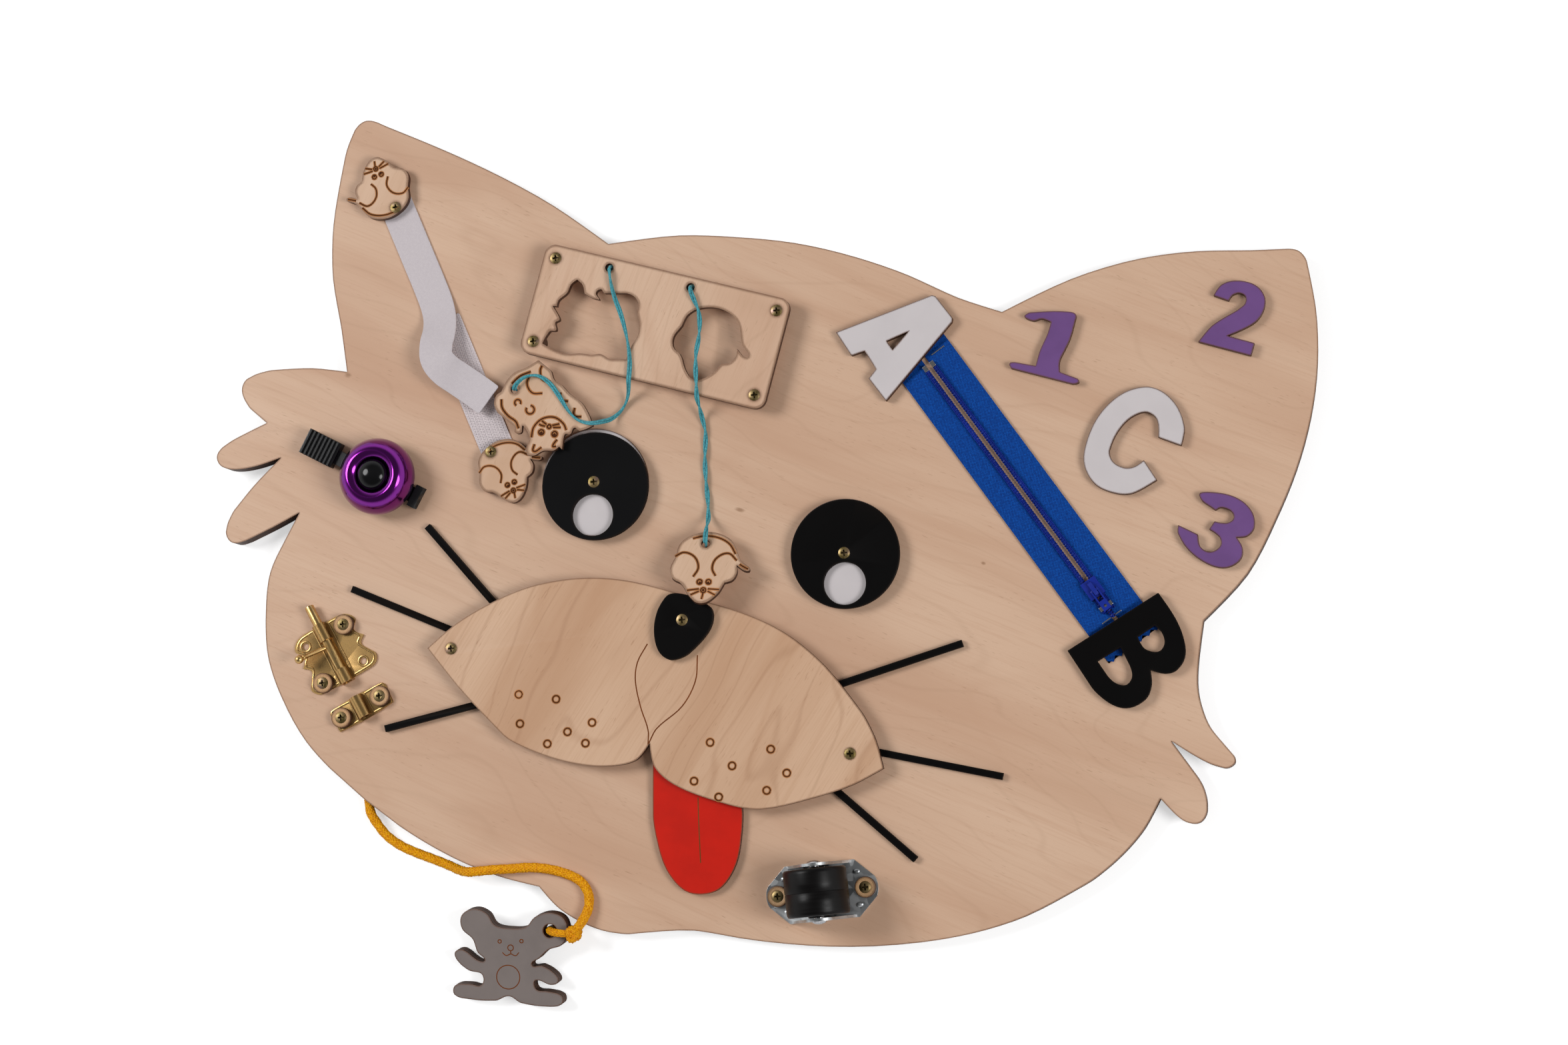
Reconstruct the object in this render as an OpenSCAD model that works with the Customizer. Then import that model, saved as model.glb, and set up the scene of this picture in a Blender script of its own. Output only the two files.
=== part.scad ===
// Cat-shaped wooden busy board: plywood face with turning, sliding, ringing and lacing toys.
// Millimetres. The board lies on its back: z = 0 is the table, +Z leaves the front face,
// +X runs to the right across the face, +Y up the face. The origin is the middle of the back.

/* [Board] */
// Width of the board over the whiskers of fur and the right ear
board_w = 563; // [450:1:680]
// Height of the board from chin to ear tip
board_h = 426; // [340:1:520]
// Thickness of the plywood board
board_t = 10; // [9:0.5:15]

/* [Plywood pieces] */
// Thickness of the glued letters, lacing plate, muzzle and nose
ply_t = 4; // [3:0.5:6]
// Thickness of the thinner plywood: tongue, whiskers, eye discs, pendants
thin_t = 3; // [2:0.5:4]

/* [Screws] */
// Shank diameter of every wood screw
screw_d = 3; // [2.5:0.5:4]
// Head diameter of every wood screw
head_d = 6; // [5:0.5:8]
// Wood left behind the tip of a screw
tip_cover = 1.5; // [1:0.5:3]
// Radial clearance of a piece that turns on a screw or pin
run_gap = 0.05; // [0.02:0.01:0.1]

/* [Muzzle, nose and tongue] */
// Distance between the two muzzle screws
muzzle_pitch = 218; // [200:1:240]
// Height of the gap that the tongue swings in
muzzle_gap = 4; // [4:0.5:8]
// Length of the tongue from its pivot to its tip
tongue_len = 141; // [125:1:142]
// Width of the tongue
tongue_w = 47; // [36:1:52]
// Angle that the tongue hangs at
tongue_lean = 18.8; // [10:0.5:24]
// Width of a whisker strip
whisker_w = 3.6; // [2.5:0.1:5]

/* [Eyes] */
// Diameter of an eye disc
eye_d = 56.6; // [48:0.2:64]
// Diameter of the finger window in an eye disc
window_d = 22; // [18:0.5:24]
// Distance of the window from the middle of its disc
window_off = 15.2; // [14:0.2:16]

/* [Lacing plate] */
// Width of the lacing plate
plate_w = 135; // [125:1:160]
// Height of the lacing plate
plate_h = 59.5; // [55:0.5:72]
// Distance of the plate's screws from its sides
plate_inset = 6.5; // [5:0.5:8]
// Height of the rings that hold the plate off the board
plate_lift = 6; // [4:0.5:8]
// Diameter of the cord holes
cord_hole_d = 4.4; // [3.5:0.1:6]
// Diameter of the lacing cord
lace_d = 2.6; // [2:0.1:3.2]

/* [Strap] */
// Width of the hook and loop tapes
strap_w = 18; // [12:1:24]
// Thickness of a hook or loop tape
strap_t = 1.2; // [0.8:0.1:2]

/* [Zipper] */
// Width of one zipper tape
tape_w = 14.8; // [12:0.1:18]
// Gap between the two rows of teeth
teeth_gap = 2.4; // [1.6:0.1:4]
// Length of the zipper tapes
zip_len = 192; // [170:1:220]
// Thickness of the zipper tape
tape_t = 0.6; // [0.4:0.1:1]

/* [Bell] */
// Outer diameter of the bell's dome
bell_d = 40.6; // [36:0.2:44]
// Height of the dome over its rim
dome_h = 13; // [11:0.5:16]
// Wall of the dome
dome_wall = 1.2; // [0.8:0.1:2]

/* [Latch] */
// Diameter of the bolt
bolt_d = 5; // [4:0.1:6]
// Length of the bolt
bolt_len = 45; // [42:1:48]
// Thickness of the brass sheet
brass_t = 1; // [0.8:0.1:1.5]

/* [Caster] */
// Diameter of the wheel
wheel_d = 32.5; // [26:0.5:38]
// Width of the wheel
wheel_w = 24; // [18:0.5:26]
// Diameter of the axle
axle_d = 5; // [4:0.5:6]
// Thickness of the steel sheet
steel_t = 1.5; // [1:0.1:2]

/* [Pull cord and toy] */
// Diameter of the pull cord
pull_d = 5; // [4:0.2:6]
// Angle that the toy lies at, on its feet and its cord loop
toy_tilt = 8.5; // [8:0.5:11]

/* [Hidden] */
$fn = 48;

// ---------- shared values ----------
eps = 0.01;                     // overlap of cutting solids
curve_step = 11;                // most that an outline turns at one point, in degrees
drawn_w = 563;                  // board size that the places below are given for
drawn_h = 426;
pivot_d = screw_d + 2 * run_gap;
head_h = 0.5 * (head_d - screw_d);
top_z = board_t;

function at_face(x, y) = [x * board_w / drawn_w, y * board_h / drawn_h];

// places of the toys on the face
muzzle_at = at_face(-16.5, -92.3);
nose_at = at_face(-9.2, -47.7);
eye_left_at = at_face(-74.9, 10.7);
eye_right_at = at_face(62.9, 6.6);
plate_at = at_face(-64, 97.2);
kitten_at = at_face(-112, 40.6);
mouse_at = at_face(-3.7, -19.6);
strap_at = at_face(-219, 127.2);
clamp_low_at = at_face(-133.2, 12.9);
letter_a_at = at_face(60, 117);
letter_b_at = at_face(216, -5);
letter_c_at = at_face(192, 98);
digit_1_at = at_face(138, 136);
digit_2_at = at_face(226, 172);
digit_3_at = at_face(244, 64);
zip_at = at_face(191.1, 20);
bell_at = at_face(-188.8, -14.6);
latch_at = at_face(-191.5, -107.5);
caster_at = at_face(95.5, -164);
toy_at = at_face(-54.5, -239);

// ---------- closed smooth outlines ----------
// A point is [x, y], or [x, y, 1] where the outline has a sharp corner.
function xy(p) = [p[0], p[1]];
function unit(v) = v / max(norm(v), 0.0001);
function turn(u, v) = acos(max(-1, min(1, unit(u) * unit(v))));
function next(p, i) = xy(p[(i + 1) % len(p)]);
function prev(p, i) = xy(p[(i + len(p) - 1) % len(p)]);
function corner(p, i) = len(p[i]) > 2;
function leaving(p, i) = unit(next(p, i) - (corner(p, i) ? xy(p[i]) : prev(p, i)));
function arriving(p, i) = unit((corner(p, i) ? xy(p[i]) : next(p, i)) - prev(p, i));
function hermite(a, b, u, v, t) = a * (2 * t * t * t - 3 * t * t + 1)
    + u * (t * t * t - 2 * t * t + t) + b * (3 * t * t - 2 * t * t * t) + v * (t * t * t - t * t);
function outline(p) = [for (i = [0 : len(p) - 1])
    let (j = (i + 1) % len(p), a = xy(p[i]), b = xy(p[j]), d = b - a,
        u = leaving(p, i) * norm(d), v = arriving(p, j) * norm(d),
        n = max(1, ceil((turn(u, d) + turn(d, v)) / curve_step)))
    for (k = [0 : n - 1]) hermite(a, b, u, v, k / n)];
function scaled(p, sx, sy) = [for (q = p) len(q) > 2 ? [q[0] * sx, q[1] * sy, 1] : [q[0] * sx, q[1] * sy]];

// ---------- outlines ----------
board_points = [[-102, 135, 1], [-66, 148], [-36, 154], [-5, 158], [29, 158], [58, 155], [86, 149.5],
    [110, 147.5, 1], [140, 172], [173, 191], [200, 201], [226, 207.5], [244, 212.5], [250, 212.5],
    [255, 208], [265, 186], [272.5, 160], [276, 132], [275.5, 104], [271.5, 76], [264.5, 46.5],
    [249, 18, 1], [251, 1], [255, -17], [265, -33], [280, -44], [281.5, -48], [277, -51.5], [264, -50],
    [248, -45, 1], [259, -54], [269, -63], [274, -74], [272, -81], [265, -82.5], [257, -79],
    [250, -74.5, 1], [246, -91], [237, -109], [224, -126], [198.5, -149.5], [174, -165], [150, -176],
    [106, -190], [60, -198], [36, -200.5], [18, -206.5], [4, -211], [-10, -213], [-24, -211.5],
    [-37, -207.5], [-49, -200, 1], [-67, -200.5], [-88, -199], [-109, -195], [-130, -189],
    [-152, -180.5], [-175, -169.5], [-191, -159.5], [-210, -141], [-224, -121], [-232, -97],
    [-235, -78], [-232.7, -63], [-228, -43, 1], [-240, -54], [-252, -64], [-260, -67.5], [-265, -62.5],
    [-263.5, -50], [-256.5, -35], [-246, -17, 1], [-256, -23.5], [-268, -29], [-277, -29.5],
    [-281, -25], [-279, -19], [-271, -11], [-259, -1, 1], [-269.5, 4], [-277, 12], [-276, 19.5],
    [-263, 27.5], [-242, 33.5], [-223, 36, 1], [-233, 59], [-244, 82], [-252, 111], [-255.5, 145],
    [-254.5, 163], [-249, 170], [-236, 169], [-210, 165], [-178, 159], [-136, 148]];
muzzle_points = [[-121.5, -3, 1], [-111, 12], [-95, 28], [-76, 42], [-50, 53], [-24, 57.5], [8, 57],
    [36, 56], [60, 51.5], [85, 40], [108, 23], [120, 10], [127.5, -3, 1], [115, -14.5], [93, -28.5],
    [70, -39.5], [50, -41], [25, -38.5], [12, -32], [6.5, -21, 1], [2, -31], [-10, -37.5],
    [-27, -41], [-48, -41], [-70, -36.5], [-100, -18.5]];
nose_points = [[-9.5, 11.5], [1, 13], [12.5, 10], [15.5, 4.5], [14.5, -3.5], [8, -15.5], [3, -20],
    [-2, -21.5], [-8, -18.5], [-12.5, -10.5], [-14, -2], [-13, 5.5]];
kitten_points = [[-24.5, -17, 1], [-22.5, -10], [-19.2, -8.5], [-20.6, -4.7], [-18.9, -2.8],
    [-20.2, -0.5], [-24.3, 3.5, 1], [-22.1, 3.8, 1], [-22, 7.2], [-18.6, 12], [-17.6, 17],
    [-15.2, 20, 1], [-11.6, 18], [-9.3, 13.7, 1], [-1.2, 12.4], [-3.5, 15.5], [-1.4, 18],
    [1.2, 16.4], [12.3, 19], [17.5, 18], [20.6, 14.5], [20.8, 10.5], [23.5, 5], [24.3, -1],
    [22.6, -7], [21.6, -14.7, 1], [13.3, -16.6], [7.6, -15.2], [2.5, -16.8], [-3.8, -17.5],
    [-10.9, -19.5], [-19, -18.6]];
mouse_points = [[-18.5, 0], [-15.8, 6.5], [-14.4, 12.4], [-9.8, 17], [-1.5, 19.7], [6.1, 19],
    [12.5, 15.4], [15.8, 9.5], [18.2, 4], [22.8, 0], [22.4, -1.6], [19.5, -1.2], [16, 1.5, 1],
    [16.4, -2.5], [14, -6.6], [10, -8, 1], [7.3, -13.1], [2.1, -18], [-1.8, -19.2], [-5.2, -18.2],
    [-9.1, -13.8], [-13, -8, 1], [-17.2, -5.4]];
toy_points = [[-20, 9], [-26, 14], [-26.5, 21], [-20, 25], [-13, 23], [-8.5, 17.5], [0, 16.5], [8, 18],
    [12.5, 23.5], [20, 26.5], [27.5, 24.5], [30.5, 17.5], [28, 10.5], [21, 7.2], [16.5, 2.5],
    [12.5, -1.5], [18, -1.5], [25, -5], [27, -9], [23, -11], [15, -9.5], [15.5, -14], [22, -14.5],
    [29, -16], [29.5, -20.5], [22, -22.5], [8, -22], [1, -19], [-6, -22], [-20, -22.5], [-28, -21],
    [-28, -16], [-20, -14.5], [-14, -14.5], [-14, -9], [-21, -7.5], [-27.5, -3], [-29, 1.5], [-24.5, 3],
    [-17, -1.5], [-13, -1.5], [-17, 2.5]];
letter_a_points = [[-30.8, -0.3, 1], [13.1, 30.1, 1], [15, 30, 1], [26.5, 21, 1], [26.8, 19, 1],
    [3.8, -29, 1], [-8, -19.7, 1], [-5.5, -14.1, 1], [-13.7, -6.3, 1], [-19.8, -10.3, 1]];
letter_a_hole = [[-3.8, 1.4, 1], [5.8, 8.7, 1], [0.4, -2.3, 1]];
letter_b_points = [[7.7, 30.9, 1], [19.1, 20.6], [26, 11], [28.6, 2.5], [26, -5], [20.9, -8],
    [13.4, -8, 1], [15.8, -14.8], [14.9, -22.5], [7.5, -29.3], [-2, -29.5], [-13.4, -23.6],
    [-29.5, -8.9, 1]];
letter_b_hole_up = [[3.1, 6.6, 1], [10, 14.4, 1], [14.4, 11.6], [17, 6.6], [15, 2], [8, 1.8]];
letter_b_hole_low = [[-13.5, -10.3, 1], [-4, -0.6, 1], [2.6, -8.2], [5.3, -13.5], [3.6, -18.2],
    [-1.5, -18.8], [-7, -16]];
letter_c_points = [[24.6, 3.3, 1], [24, 12.4], [17.5, 22.5], [7.9, 28.2], [-1.2, 28.2],
    [-12.2, 21.2], [-20.3, 7.6], [-22.7, -8.2], [-20.7, -18.2], [-12.9, -26.2], [-2, -28.2],
    [6.7, -26.1], [17, -16.6, 1], [8, -8.3, 1], [4.5, -12.4], [-0.3, -14.4], [-7.1, -12.6],
    [-10.1, -7], [-6.4, 7.4], [2, 15.5], [9, 13.6], [12.2, 4.7, 1]];
digit_1_points = [[-15.6, 12], [-8, 15.6], [-1.8, 17.4], [4, 18.6], [9.6, 18.6], [10.3, 14.5],
    [10, 4.4], [7.8, -7], [9.2, -12.4, 1], [18.9, -13.6], [19.8, -15.6], [16.4, -16.9, 1],
    [-15.6, -16.4, 1], [-17, -14], [-13, -12.7], [-3.6, -12.2, 1], [-3.5, -4.3], [-1.8, 5.7],
    [-1.6, 11.6, 1], [-6.5, 12.2], [-11, 10.1]];
digit_2_points = [[-12.5, 7.8, 1], [-10.1, 14], [-3.5, 17.9], [6.2, 18.1], [12.5, 13.7], [14.1, 7],
    [11.6, -0.4], [4, -7.4], [-0.4, -10.6, 1], [13.7, -11.1, 1], [13.5, -17.9, 1], [-14.2, -17.1, 1],
    [-9.6, -7.6], [-2, 0.4], [3.6, 6.6], [3.4, 10.8], [0, 12], [-3.2, 10], [-4.2, 6.9, 1]];
digit_3_points = [[-12.5, 14.8], [-6.5, 18], [6, 18.2], [15, 13.4], [18.3, 6], [16, 0.6],
    [10.9, -1.4, 1], [15, -5.6], [15.6, -11.7], [10, -17.4], [1.5, -18.2], [-10, -14], [-18, -6.8],
    [-19.1, -2.3, 1], [-8.2, -4.6, 1], [-5.6, -10.2], [-0.2, -11.7], [4, -7.4], [2.2, -3],
    [-3.5, -0.7, 1], [-1.8, 3.9, 1], [3.8, 4.3], [7, 7.4], [5, 10.8], [-0.3, 11.4], [-2.6, 9.3, 1]];

// ---------- small shared shapes ----------
module at(p, z = 0, a = 0) translate([p[0], p[1], z]) rotate([0, 0, a]) children();

// flat piece cut from sheet, standing on z = 0
module sheet(points, t) linear_extrude(t) polygon(outline(points));

// hole for a screw, countersunk at height t, in a piece that stands on z = 0
module screw_hole(t) {
    translate([0, 0, -eps]) cylinder(d = pivot_d, h = t + 2 * eps);
    translate([0, 0, t - head_h]) cylinder(d1 = pivot_d, d2 = pivot_d + 2 * (head_h + eps), h = head_h + eps);
}

// countersunk wood screw whose head ends at height top
module wood_screw(top) {
    recess_l = 0.56 * head_d;
    recess_w = 0.13 * head_d;
    recess_z = top - 0.75 * head_h;
    crown = 0.4;
    tip = 3;
    difference() {
        union() {
            translate([0, 0, tip_cover]) cylinder(d1 = 0.8, d2 = screw_d, h = tip);
            translate([0, 0, tip_cover + tip]) cylinder(d = screw_d, h = top - head_h - tip - tip_cover);
            translate([0, 0, top - head_h]) cylinder(d1 = screw_d, d2 = head_d, h = head_h);
            translate([0, 0, top]) cylinder(d1 = head_d, d2 = 0.6 * head_d, h = crown);
        }
        for (a = [0, 90]) rotate([0, 0, a + 20])
            translate([-recess_l / 2, -recess_w / 2, recess_z]) cube([recess_l, recess_w, head_h + 1]);
        translate([0, 0, recess_z]) cylinder(d = 0.28 * head_d, h = head_h + 1);
    }
}

// pilot hole that the screw threads bite in
module pilot(p) at(p, tip_cover) cylinder(d = screw_d, h = top_z);

// straight strip between two points
module strip(a, b, w) {
    d = b - a;
    translate(a) rotate(atan2(d[1], d[0])) translate([0, -w / 2]) square([norm(d), w]);
}

module ring(d, hole, h) difference() {
    cylinder(d = d, h = h);
    translate([0, 0, -eps]) cylinder(d = hole, h = h + 2 * eps);
}

// tube swept along a smooth line through route points
function route_tangent(r, i) = unit(r[min(i + 1, len(r) - 1)] - r[max(i - 1, 0)]);
function smooth_route(r, n) = concat([for (i = [0 : len(r) - 2])
    let (l = norm(r[i + 1] - r[i]), u = route_tangent(r, i) * l, v = route_tangent(r, i + 1) * l)
        for (k = [0 : n - 1]) hermite(r[i], r[i + 1], u, v, k / n)], [r[len(r) - 1]]);
function side_of(t) = unit(cross(t, abs(t[2]) > 0.9 ? [1, 0, 0] : [0, 0, 1]));
module tube(route, d, sides, n) {
    c = smooth_route(route, n);
    rings = [for (i = [0 : len(c) - 1]) let (t = route_tangent(c, i), u = side_of(t), v = cross(u, t))
        for (k = [0 : sides - 1]) c[i] + (u * cos(360 * k / sides) + v * sin(360 * k / sides)) * d / 2];
    last = len(c) - 1;
    walls = [for (i = [0 : last - 1]) for (k = [0 : sides - 1])
        let (m = (k + 1) % sides, a = i * sides, b = a + sides)
            each [[a + k, a + m, b + m], [a + k, b + m, b + k]]];
    polyhedron(rings, concat(walls, [[for (k = [0 : sides - 1]) sides - 1 - k]],
        [[for (k = [0 : sides - 1]) last * sides + k]]));
}

// ---------- board ----------
cord_exit = at_face(-151, -180.6);  // where the pull cord leaves the board's lower edge
cord_in = [-4.6, 11.1];             // from the exit to the bottom of its blind hole
muzzle_screws = [for (s = [-1, 1]) muzzle_at + [s * muzzle_pitch / 2, 0]];
plate_screws = [for (sx = [-1, 1]) for (sy = [-1, 1])
    plate_at + [sx * (plate_w / 2 - plate_inset), sy * (plate_h / 2 - plate_inset - 0.5)]];

module base_board() color("burlywood") difference() {
    sheet(scaled(board_points, board_w / drawn_w, board_h / drawn_h), board_t);
    for (p = concat([nose_at, eye_left_at, eye_right_at, bell_at], muzzle_screws, plate_screws,
        clamp_screw_places, fitting_places)) pilot(p);
    at(cord_exit, board_t / 2, atan2(cord_in[1], cord_in[0])) translate([-12, 0, 0]) rotate([0, 90, 0])
        cylinder(d = pull_d + 0.8, h = 12.15 + norm(cord_in));
}

// ---------- muzzle, whiskers, nose, tongue ----------
spacer_t = muzzle_gap - thin_t;
muzzle_z = top_z + muzzle_gap;
nose_z = muzzle_z + ply_t;

module muzzle_plate() color("tan") at(muzzle_at, muzzle_z) difference() {
    sheet(scaled(muzzle_points, muzzle_pitch / 218, 1), ply_t);
    for (s = [-1, 1]) at([s * muzzle_pitch / 2, 0]) screw_hole(ply_t);
    at(nose_at - muzzle_at, -eps) cylinder(d = screw_d, h = ply_t + 2 * eps);
}

module muzzle_spacers() color("wheat") for (p = muzzle_screws)
    at(p, top_z + thin_t) ring(washer_d, screw_d, spacer_t);

// three strips that start in a pad hidden under the muzzle
module whiskers(screw, lines, pad) color("black") at(screw, top_z) difference() {
    linear_extrude(thin_t) union() {
        for (l = lines) strip(l[0], l[1], whisker_w);
        polygon(outline(pad));
    }
    translate([0, 0, -eps]) cylinder(d = screw_d, h = thin_t + 2 * eps);
}

module whiskers_left() whiskers(muzzle_screws[0],
    [[[-31.5, 59], [33, 16.5]], [[-62.5, 17], [33, 4.5]], [[-25, -49.5], [33, -17.5]]],
    [[-6, 0], [4, 9], [24, 22], [36, 20], [41, 0], [36, -19], [24, -22], [4, -9]]);

module whiskers_right() whiskers(muzzle_screws[1],
    [[[41, 69], [-33, 21.5]], [[78, 8.5], [-33, 1.5]], [[45.5, -43.5], [-33, -5.5]]],
    [[6, 0], [-3, 9], [-20, 20], [-34, 23], [-39, 2], [-34, -10], [-20, -12], [-3, -7]]);

module nose_disc() color("black") at(nose_at, nose_z) difference() {
    sheet(nose_points, ply_t);
    screw_hole(ply_t);
}

module tongue() color("crimson")
    at(nose_at, top_z + (muzzle_gap - thin_t) / 2, tongue_lean) difference() {
        w = tongue_w / 2;
        l = tongue_len;
        side = [[10, 7], [0.7 * w, -0.2 * l], [0.92 * w, -0.5 * l], [w, -0.7 * l], [0.94 * w, -0.8 * l],
            [0.78 * w, -0.9 * l], [0.42 * w, -0.98 * l]];
        other = [for (i = [len(side) - 1 : -1 : 0]) [-side[i][0], side[i][1]]];
        sheet(concat([[0, 12]], side, [[0, -l]], other), thin_t);
        translate([0, 0, -eps]) cylinder(d = pivot_d, h = thin_t + 2 * eps);
    }

module face_screws() color("gold") {
    at(nose_at) wood_screw(nose_z + ply_t);
    for (p = muzzle_screws) at(p) wood_screw(muzzle_z + ply_t);
}

// ---------- eyes ----------
eye_z = top_z + thin_t;

module eye_backing(p) color("white") at(p, top_z) difference() {
    cylinder(d = eye_d, h = thin_t);
    translate([0, 0, -eps]) cylinder(d = screw_d, h = thin_t + 2 * eps);
}

// disc whose middle is off its screw by shift, with its window at angle a
module eye_disc(p, shift, a) color("black") at(p, eye_z) difference() {
    at(shift) cylinder(d = eye_d, h = thin_t, $fn = 96);
    at(shift + window_off * [cos(a), sin(a)], -eps) cylinder(d = window_d, h = thin_t + 2 * eps);
    screw_hole(thin_t);
}

module eye_left_backing() eye_backing(eye_left_at);
module eye_right_backing() eye_backing(eye_right_at);
module eye_left_disc() eye_disc(eye_left_at, [1.2, -2], -80);
module eye_right_disc() eye_disc(eye_right_at, [0.6, -0.4], -76);
module eye_screws() color("gold") for (p = [eye_left_at, eye_right_at]) at(p) wood_screw(eye_z + thin_t);

// ---------- lacing plate ----------
plate_z = top_z + plate_lift;
plate_top = plate_z + ply_t;
kitten_cut = [-31.5, -5.7];     // middle of the kitten cut-out, from the middle of the plate
mouse_cut = [30, -3];
lace_holes = [[-31.5, 24.4], [13.5, 24.2]];

corner_r = 5.8;

module lacing_plate() color("tan") at(plate_at, plate_z) difference() {
    union() {
        translate([-plate_w / 2 + corner_r, -plate_h / 2, 0]) cube([plate_w - 2 * corner_r, plate_h, ply_t]);
        translate([-plate_w / 2, -plate_h / 2 + corner_r, 0]) cube([plate_w, plate_h - 2 * corner_r, ply_t]);
        for (x = [-1, 1], y = [-1, 1]) at([x * (plate_w / 2 - corner_r), y * (plate_h / 2 - corner_r)])
            cylinder(r = corner_r, h = ply_t);
    }
    at(kitten_cut, -eps) sheet(kitten_points, ply_t + 2 * eps);
    at(mouse_cut, -eps) sheet(mouse_points, ply_t + 2 * eps);
    for (p = lace_holes) at(p, -eps) cylinder(d = cord_hole_d, h = ply_t + 2 * eps);
    for (p = plate_screws) at(p - plate_at) screw_hole(ply_t);
}

module lacing_spacers() color("wheat") for (p = plate_screws)
    at(p, top_z) ring(washer_d, screw_d, plate_lift);
module lacing_screws() color("gold") for (p = plate_screws) at(p) wood_screw(plate_top);
module lacing_knots() color("teal") for (p = lace_holes)
    at(plate_at + p, plate_z - 1.15 * lace_d) sphere(d = 2.2 * lace_d);

// pendants: the two figures cut out of the plate, drilled for their cords
kitten_turn = 142;
kitten_hole = [17, 4.5];
kitten_z = eye_z + thin_t + 0.4;
mouse_turn = 15;
mouse_hole = [-0.6, 13.4];
mouse_lift = 15;                // it leans up over the nose, clear of the nose's longest radius
nose_reach = 21.7;
mouse_z = nose_z + ply_t + 0.4 + (nose_at[1] + nose_reach - mouse_at[1]) * tan(mouse_lift);

module kitten_pendant() color("wheat") at(kitten_at, kitten_z, kitten_turn) difference() {
    sheet(kitten_points, thin_t);
    at(kitten_hole, -eps) cylinder(d = cord_hole_d, h = thin_t + 2 * eps);
}

module mouse_pendant() color("wheat") at(mouse_at, mouse_z) rotate([-mouse_lift, 0, 0])
    rotate([0, 0, mouse_turn]) difference() {
        sheet(mouse_points, thin_t);
        at(mouse_hole, -eps) cylinder(d = cord_hole_d, h = thin_t + 2 * eps);
    }

// cord routes, from behind the plate to the pendant
kitten_route = [[-95.5, 121.6, 14.5], [-95.5, 121.6, 18], [-95.3, 121.2, 20.8], [-94, 118.4, 22.3],
    [-91.5, 112.5, 21.7], [-88, 106.5, 21.4], [-83, 99.5, 21.4], [-78.5, 92, 21.4], [-74.5, 84, 21.4],
    [-71.5, 76, 21.4], [-70, 69.5, 21.6], [-69.5, 66.2, 21.2], [-69.3, 63, 18.2], [-69.5, 59, 14.2],
    [-70.3, 54.6, 11.8], [-72.2, 49.6, 11.4], [-75.2, 45, 13.6], [-78.6, 42, 18.6], [-82.5, 39.9, 21.7],
    [-87, 39.4, 21.3], [-92, 40.4, 20.9], [-97, 43.5, 20.9], [-104, 50, 20.9], [-110.5, 55, 20.9],
    [-117.5, 57.3, 21], [-123.5, 55.3, 21.4], [-127, 51, 22.1], [-128.2, 48, 20.6], [-128.2, 47.5, 17.6]];
mouse_route = [[-50.5, 121.4, 14.5], [-50.5, 121.4, 18], [-50.3, 121, 20.8], [-49, 118.6, 22.3],
    [-46, 114.5, 21.6], [-43, 110.5, 21.4], [-40.5, 104, 21.4], [-39, 96.5, 21.4], [-38.2, 88, 21.4],
    [-36, 79, 21.4], [-33.2, 70.5, 21.6], [-32, 66.4, 21.2], [-30.9, 63.2, 18.2], [-29.6, 59.8, 14.2],
    [-27.6, 55.6, 11.8], [-24.8, 50, 11.4], [-22, 38.5, 11.4], [-19, 28.5, 11.4], [-15.5, 19, 11.4],
    [-12.7, 11, 11.6], [-11, 6.2, 14], [-9.9, 3, 18], [-9, -0.6, 21.2], [-8.2, -3.9, 22.4],
    [-7.8, -5.9, 21.9], [-7.75, -6.5, 20.3], [-7.75, -7.2, 17.9]];
module kitten_cord() color("teal") tube(kitten_route, lace_d, 8, 1);
module mouse_cord() color("teal") tube(mouse_route, lace_d, 8, 1);

// ---------- hook and loop strap with its two mouse clamps ----------
strap_turn = -51.9;             // the strap runs down to the right at this angle
clamp_scale = 0.87;
strap_len = 151;                // from the upper end of one tape to the lower end of the other
clamp_z = top_z + strap_t;
clamp_hole = [-4, 13.4];        // the clamp's screw, from the middle of the mouse
clamp_screw_places = [strap_at, clamp_low_at];
lap = 82;                       // where the loop tape climbs onto the hook tape
hook_start = 66;

// ribbon whose side view is a line of [along, up] points
function ribbon(p, t) = concat(p, [for (i = [len(p) - 1 : -1 : 0])
    let (d = unit(p[min(i + 1, len(p) - 1)] - p[max(i - 1, 0)])) p[i] + t * [-d[1], d[0]]]);
module tape(profile, w, t) translate([0, w / 2, 0]) rotate([90, 0, 0])
    linear_extrude(w) polygon(ribbon(profile, t));

module strap_loop_tape() color("white") at(strap_at, top_z, strap_turn) difference() {
    tape([[-8, 0], [50, 0], [58, 0.3], [64, strap_t + 0.3], [lap - 6, strap_t + 0.3], [lap, strap_t + 1.2],
        [lap + 5, 5], [lap + 12, 9.5], [lap + 20, 11], [lap + 27, 9.3], [lap + 31, 7.6], [lap + 34.5, 7]],
        strap_w, strap_t);
    translate([0, 0, -eps]) cylinder(d = pivot_d, h = strap_t + 2 * eps);
}
module strap_hook_tape() color("whitesmoke") difference() {
    at(strap_at, top_z, strap_turn) translate([hook_start, -strap_w / 2, 0])
        cube([strap_len - hook_start, strap_w, strap_t]);
    at(clamp_low_at, top_z - eps) cylinder(d = pivot_d, h = strap_t + 2 * eps);
}

module mouse_clamp(screw, a) color("wheat")
    at(screw, clamp_z, a) translate([-clamp_hole[0], -clamp_hole[1], 0]) difference() {
        sheet(scaled(mouse_points, clamp_scale, clamp_scale), ply_t);
        at(clamp_hole) screw_hole(ply_t);
    }
module mouse_clamp_upper() mouse_clamp(clamp_screw_places[0], 215);
module mouse_clamp_lower() mouse_clamp(clamp_screw_places[1], 38);
module clamp_screws() color("gold") for (p = clamp_screw_places) at(p) wood_screw(clamp_z + ply_t);

// ---------- letters and digits ----------
glyph_z = top_z + tape_t;       // the letters lie on the ends of the zipper tape

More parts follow.
